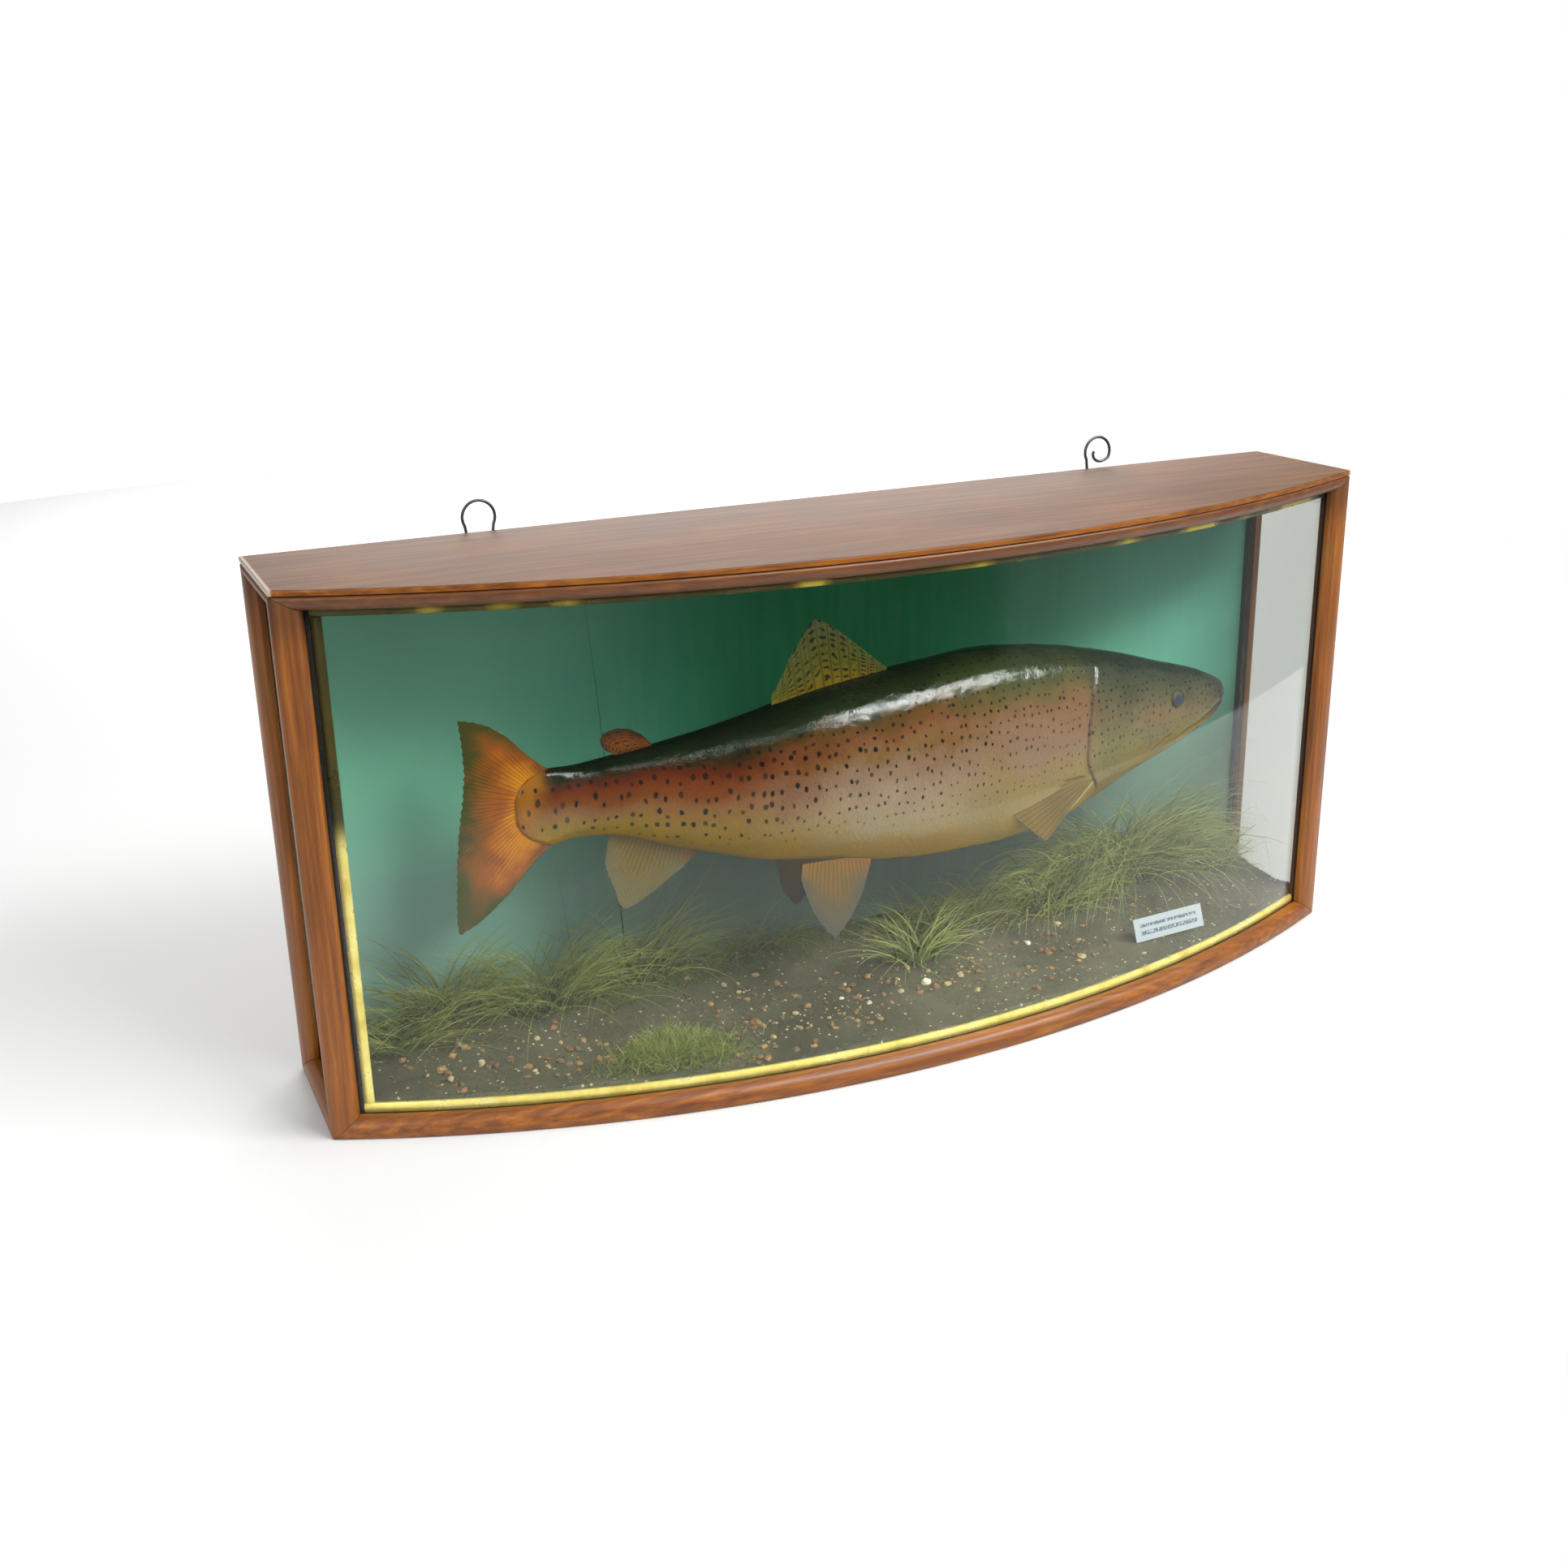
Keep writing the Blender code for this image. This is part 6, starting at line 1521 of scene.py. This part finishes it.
def build_stones():
    finish = stone_finish()
    stone_mesh("pebbles", STONES, 3, 3, finish)
    rng = random.Random(5)
    gravel = []
    while len(gravel) < 430:
        x = rng.uniform(-0.42, 0.42)
        y = Y_CORNER + rng.gauss(-0.010, 0.042)
        clump = noise.noise(Vector((x * 16, y * 16, 4.0)))
        clear = math.hypot(x - LABEL_AT[0], y - LABEL_AT[1]) > 0.03
        if inside_bed(x, y) and rng.random() < 0.35 + 1.4 * clump and clear:
            gravel.append(((x, y), rng.uniform(1.2, 3.6) * rng.uniform(0.7, 1.15), rng.betavariate(2.0, 2.4)))
    stone_mesh("gravel", gravel, 1, 4, finish)
    shingle = []
    while len(shingle) < 210:
        x = (rng.choice((-0.36, -0.33, -0.28, -0.24, -0.12, -0.1, -0.03, 0.04, 0.1, 0.19, 0.33))
             + rng.gauss(0, 0.026))
        y = Y_CORNER + rng.gauss(-0.006, 0.034)
        if inside_bed(x, y) and math.hypot(x - LABEL_AT[0], y - LABEL_AT[1]) > 0.045:
            shingle.append(((x, y), rng.uniform(3.0, 7.0), rng.betavariate(2.4, 3.0)))
    stone_mesh("shingle", shingle, 2, 6, finish)


def blade_mesh(name, blades, rings, finish, replaces=()):
    """Grass: each blade is a thin three-sided strip that arches from its root.

    blades: (root, heading, length, first pitch, droop, width, curl, tone), in metres and radians.
    """
    bm = bmesh.new()
    bmesh.ops.create_cone(bm, cap_ends=True, segments=3, radius1=1.0, radius2=0.12, depth=1.0)
    bmesh.ops.subdivide_edges(bm, edges=[e for e in bm.edges if abs(e.verts[0].co.z - e.verts[1].co.z) > 0.5],
                              cuts=rings - 1, use_grid_fill=False)
    seed, seed_faces = seed_shape(bm)
    share = seed[:, 2] + 0.5
    points, reach, tones = [], [], []
    for root, heading, length, first, droop, width, curl, tone in blades:
        steps = 24
        s = np.linspace(0, 1, steps + 1)
        pitch = first - droop * s ** 1.2
        yaw = heading + curl * s ** 1.5
        ds = length / steps
        swing = np.stack([np.cos(yaw), np.sin(yaw)], axis=-1) * (np.cos(pitch) * ds)[:, None]
        flat = np.concatenate([[[0.0, 0.0]], np.cumsum(swing[:-1], axis=0)])
        climb = np.concatenate([[0.0], np.cumsum(np.sin(pitch[:-1]) * ds)])
        spine = np.stack([root[0] + flat[:, 0], root[1] + flat[:, 1], root[2] + climb], axis=-1)
        at = np.stack([np.interp(share, s, spine[:, i]) for i in range(3)], axis=-1)
        wide = np.array([-math.sin(heading), math.cos(heading), 0.0])
        tall = np.array([-math.cos(heading) * 0.6, -math.sin(heading) * 0.6, 0.8])
        taper = (1.0 - 0.75 * share ** 2)[:, None] * width
        turn = math.cos(curl * 9.0)
        points.append(
            at + (wide * turn + tall * (1 - abs(turn))) * seed[:, :1] * taper
            + tall * seed[:, 1:2] * taper * 0.35)
        reach.append(share)
        tones.append(np.full(len(seed), tone))
    faces = (seed_faces[None] + (np.arange(len(blades)) * len(seed))[:, None, None]).reshape(-1, 3)
    mesh = mesh_from_arrays(name, hold_inside(np.concatenate(points)), faces)
    set_values(mesh, "reach", np.concatenate(reach))
    set_values(mesh, "tone", np.concatenate(tones))
    add_piece(name, mesh, finish, replaces, 80.0)


def hold_inside(points):
    """Keep grass between the back board, the glass and the side panes."""
    side = BED_HALF - 0.002
    x = np.clip(points[:, 0], -side, side)
    front = ARC_Y - np.sqrt((ARC_R - BED_V - 0.001) ** 2 - x * x)
    y = np.clip(points[:, 1], front, Y_REAR - BACK_THICK - 0.0008)
    return np.stack([x, y, np.clip(points[:, 2], BED_LEVEL - 0.004, 0.39)], axis=-1)


# each tuft: place, spread of its roots, number of blades, their length, first pitch and droop (from
# and to), half width, and where it takes the place of a solid tuft
TUFTS = (
    ("grass_tail_outer", (-0.338, 0.087), (0.022, 0.008), 250, (0.055, 0.125), (30, 86), (0.8, 2.1), 0.0011),
    ("grass_tail_inner", (-0.258, 0.070), (0.026, 0.012), 320, (0.060, 0.130), (32, 88), (0.6, 2.1), 0.0011),
    ("grass_belly", (-0.176, 0.087), (0.024, 0.008), 270, (0.050, 0.125), (38, 88), (0.6, 2.2), 0.0010),
    ("grass_front", (0.050, 0.018), (0.012, 0.010), 110, (0.040, 0.088), (30, 84), (0.3, 1.5), 0.0015),
    ("grass_throat", (0.212, 0.064), (0.028, 0.012), 330, (0.050, 0.115), (20, 82), (0.8, 2.5), 0.0011),
    ("grass_head", (0.300, 0.082), (0.050, 0.012), 900, (0.080, 0.185), (35, 88), (1.4, 2.9), 0.0011),
    ("grass_between", (-0.080, 0.090), (0.050, 0.006), 190, (0.025, 0.065), (30, 85), (0.8, 2.2), 0.0008),
    ("grass_under_belly", (0.085, 0.070), (0.030, 0.012), 160, (0.030, 0.075), (30, 85), (0.5, 1.9), 0.0008),
    ("grass_behind", (0.140, 0.086), (0.030, 0.008), 170, (0.030, 0.075), (30, 85), (0.8, 2.2), 0.0008),
    ("grass_corner", (0.392, 0.074), (0.022, 0.014), 190, (0.030, 0.085), (20, 80), (0.6, 2.4), 0.0009),
    ("grass_low_left", (-0.385, 0.060), (0.022, 0.016), 140, (0.040, 0.100), (12, 55), (0.2, 1.2), 0.0009),
)


def tuft(rng, place, spread, count, lengths, pitches, droops, width):
    blades = []
    while len(blades) < count:
        x = place[0] + rng.gauss(0, spread[0] * 0.6)
        y = place[1] + rng.gauss(0, spread[1] * 0.6)
        if not inside_bed(x, y, 0.002):
            continue
        away = (x - place[0]) / spread[0]
        rightward = rng.random() < 0.5 + 0.4 * away
        heading = (0.0 if rightward else math.pi) + rng.gauss(0, 0.42) + (-0.18 if rightward else 0.18)
        root = (x, y, ground_height(x, y) - 0.001)
        blades.append(
            (root, heading, rng.uniform(*lengths), math.radians(rng.uniform(*pitches)),
                rng.uniform(*droops), width * rng.uniform(0.6, 1.15), rng.gauss(0, 0.35), rng.random()))
    return blades


def build_grass():
    """Dyed grass blades, in tufts beside and behind the fish."""
    olive = grass_finish("dyed_grass_olive", "#3a4414", "#66722a", "#989c58")
    fresh = grass_finish("dyed_grass_green", "#44521a", "#6c7a34", "#a8ac68")
    rng = random.Random(21)
    for name, place, spread, count, lengths, pitches, droops, width in TUFTS:
        blades = tuft(rng, place, spread, count, lengths, pitches, droops, width)
        finish = fresh if name == "grass_front" else olive
        blade_mesh(f"{name}_blades", blades, 8, finish, (name,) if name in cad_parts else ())
    # a long stem behind the tail reaches the top of the case; two thin blades cross below the wrist
    dark = grass_finish("dried_stem", "#2c3418", "#141c0e", "#0e140a")
    stem = [((-0.183, 0.092, 0.026), math.radians(183), 0.366, math.radians(88), 0.06, 0.0019, 0.0, 0.0),
            ((-0.240, 0.060, 0.026), math.radians(20), 0.150, math.radians(82), 0.16, 0.0005, 0.2, 0.1),
            ((-0.236, 0.060, 0.026), math.radians(150), 0.140, math.radians(86), 0.05, 0.0005, -0.2, 0.1)]
    blade_mesh("tall_stems", stem, 24, dark)
    moss = grass_finish("dyed_moss", "#343e0e", "#546218", "#828c3c")
    cushion = []
    while len(cushion) < 1700:
        x = MOSS[0] + rng.gauss(0, 0.027)
        y = MOSS[1] + rng.gauss(0, 0.013)
        if inside_bed(x, y, 0.003):
            root = (x, y, ground_height(x, y) - 0.001)
            near = math.exp(-(((x - MOSS[0]) / 0.036) ** 2))
            cushion.append(
                (root, rng.uniform(0, 6.28),
                    rng.uniform(0.006, 0.016) + rng.uniform(0.004, 0.02) * near,
                    math.radians(rng.uniform(25, 88)), rng.uniform(0.3, 1.7),
                    rng.uniform(0.0005, 0.0009), rng.gauss(0, 0.6), rng.random()))
    while len(cushion) < 4200:
        x, y = rng.uniform(-0.41, 0.42), Y_CORNER + rng.gauss(0.088, 0.014)
        if inside_bed(x, y, 0.003):
            root = (x, y, ground_height(x, y) - 0.001)
            cushion.append(
                (root, rng.uniform(0, 6.28), rng.uniform(0.008, 0.024),
                    math.radians(rng.uniform(25, 85)), rng.uniform(0.4, 1.9),
                    rng.uniform(0.0003, 0.0006), rng.gauss(0, 0.6), rng.random() * 0.6))
    blade_mesh("moss", cushion, 3, moss)


# ---- studio -------------------------------------------------------------------------------------
def lamp(name, place, aim, size, power, colour="#ffffff"):
    data = bpy.data.lights.new(name, "AREA")
    data.shape = "RECTANGLE"
    data.size, data.size_y = size
    data.energy = power
    data.color = hex_colour(colour)[:3]
    obj = bpy.data.objects.new(name, data)
    obj.location = place
    obj.rotation_euler = (Vector(aim) - Vector(place)).to_track_quat("-Z", "Y").to_euler()
    bpy.context.scene.collection.objects.link(obj)


def build_studio():
    """The pale floor, the lights, the room the panes reflect, and the camera."""
    bm = bmesh.new()
    bmesh.ops.create_circle(bm, cap_ends=True, segments=160, radius=1.84)
    bmesh.ops.translate(bm, verts=bm.verts, vec=(0.0, 1.27 + Y_CORNER, -0.0002))
    floor = bpy.data.objects.new("floor", mesh_from(bm, "floor"))
    pale, _, _ = new_material("pale_floor", Base_Color="#dadad9", Roughness=0.9, Specular_IOR_Level=0.1)
    floor.data.materials.append(pale)
    bpy.context.scene.collection.objects.link(floor)

    lamp("key", (0.86, -1.34, 1.70), (0.02, -0.03, 0.25), (1.7, 0.46), 60.0)
    lamp("overhead", (-0.3, 0.0, 2.6), (-0.1, 0.1, 0.0), (3.0, 2.4), 20.0)
    lamp("left_fill", (-1.9, -1.2, 1.0), (-0.2, 0.0, 0.2), (1.2, 1.0), 14.0)
    lamp("back", (1.0, 2.7, 1.6), (0.6, 0.9, 0.0), (2.6, 1.2), 72.0)

    world = bpy.data.worlds.new("studio")
    bpy.context.scene.world = world
    world.use_nodes = True
    tree = world.node_tree
    shown = tree.nodes["Background"]
    shown.inputs["Color"].default_value = hex_colour("#ffffff")
    direction = add_node(tree, "TexCoord", output="Generated")
    at = add_node(tree, "SeparateXYZ", direction).node
    # the room: pale above, dim below the table's edge, paler to the right
    below = add_node(tree, "MapRange", at.outputs["Z"], -0.02, 0.05, 0.06, 0.4, **SOFT)
    right = add_node(tree, "Math", add_node(tree, "MapRange", at.outputs["X"], 0.555, 0.63, **SOFT),
        0.4, operation="MULTIPLY")
    # in front, the paleness of the floor carries on a little past its rim and then fades
    fade = add_node(tree, "MapRange", at.outputs["Z"], -0.375, -0.312, 1.0, 0.0, **SOFT)
    front = add_node(tree, "Math", fade, add_node(tree, "MapRange", at.outputs["Y"], 0.0, -0.3, **SOFT),
        operation="MULTIPLY")
    level = add_node(tree, "Math", add_node(tree, "Math", below, right, operation="MAXIMUM"), front,
        operation="MAXIMUM")
    room = add_node(tree, "Background", {"Color": "#f6f8fa", "Strength": level}).node
    path = add_node(tree, "LightPath").node.outputs
    bounced = add_node(tree, "Math", path["Diffuse Depth"], path["Glossy Depth"], operation="ADD")
    seen = add_node(tree, "Math", bounced, 0.5, operation="LESS_THAN")
    mixed = add_node(tree, "MixShader", seen, room.outputs[0], shown.outputs[0]).node
    tree.links.new(mixed.outputs[0], tree.nodes["World Output"].inputs["Surface"])

    camera = bpy.data.cameras.new("camera")
    camera.lens = 40.454
    camera.sensor_width = 36.0
    obj = bpy.data.objects.new("camera", camera)
    obj.location = (-0.60628, -1.16415 + Y_CORNER, 0.66566)
    obj.rotation_euler = [math.radians(a) for a in (70.5341, 1.1763, -24.5953)]
    bpy.context.scene.collection.objects.link(obj)
    bpy.context.scene.camera = obj
    bpy.context.scene.view_settings.view_transform = "Standard"


build_studio()
build_case()
build_rings()
build_label()
build_skin()
build_scales()
build_fins()
build_eyes()
build_bed()
build_stones()
build_grass()
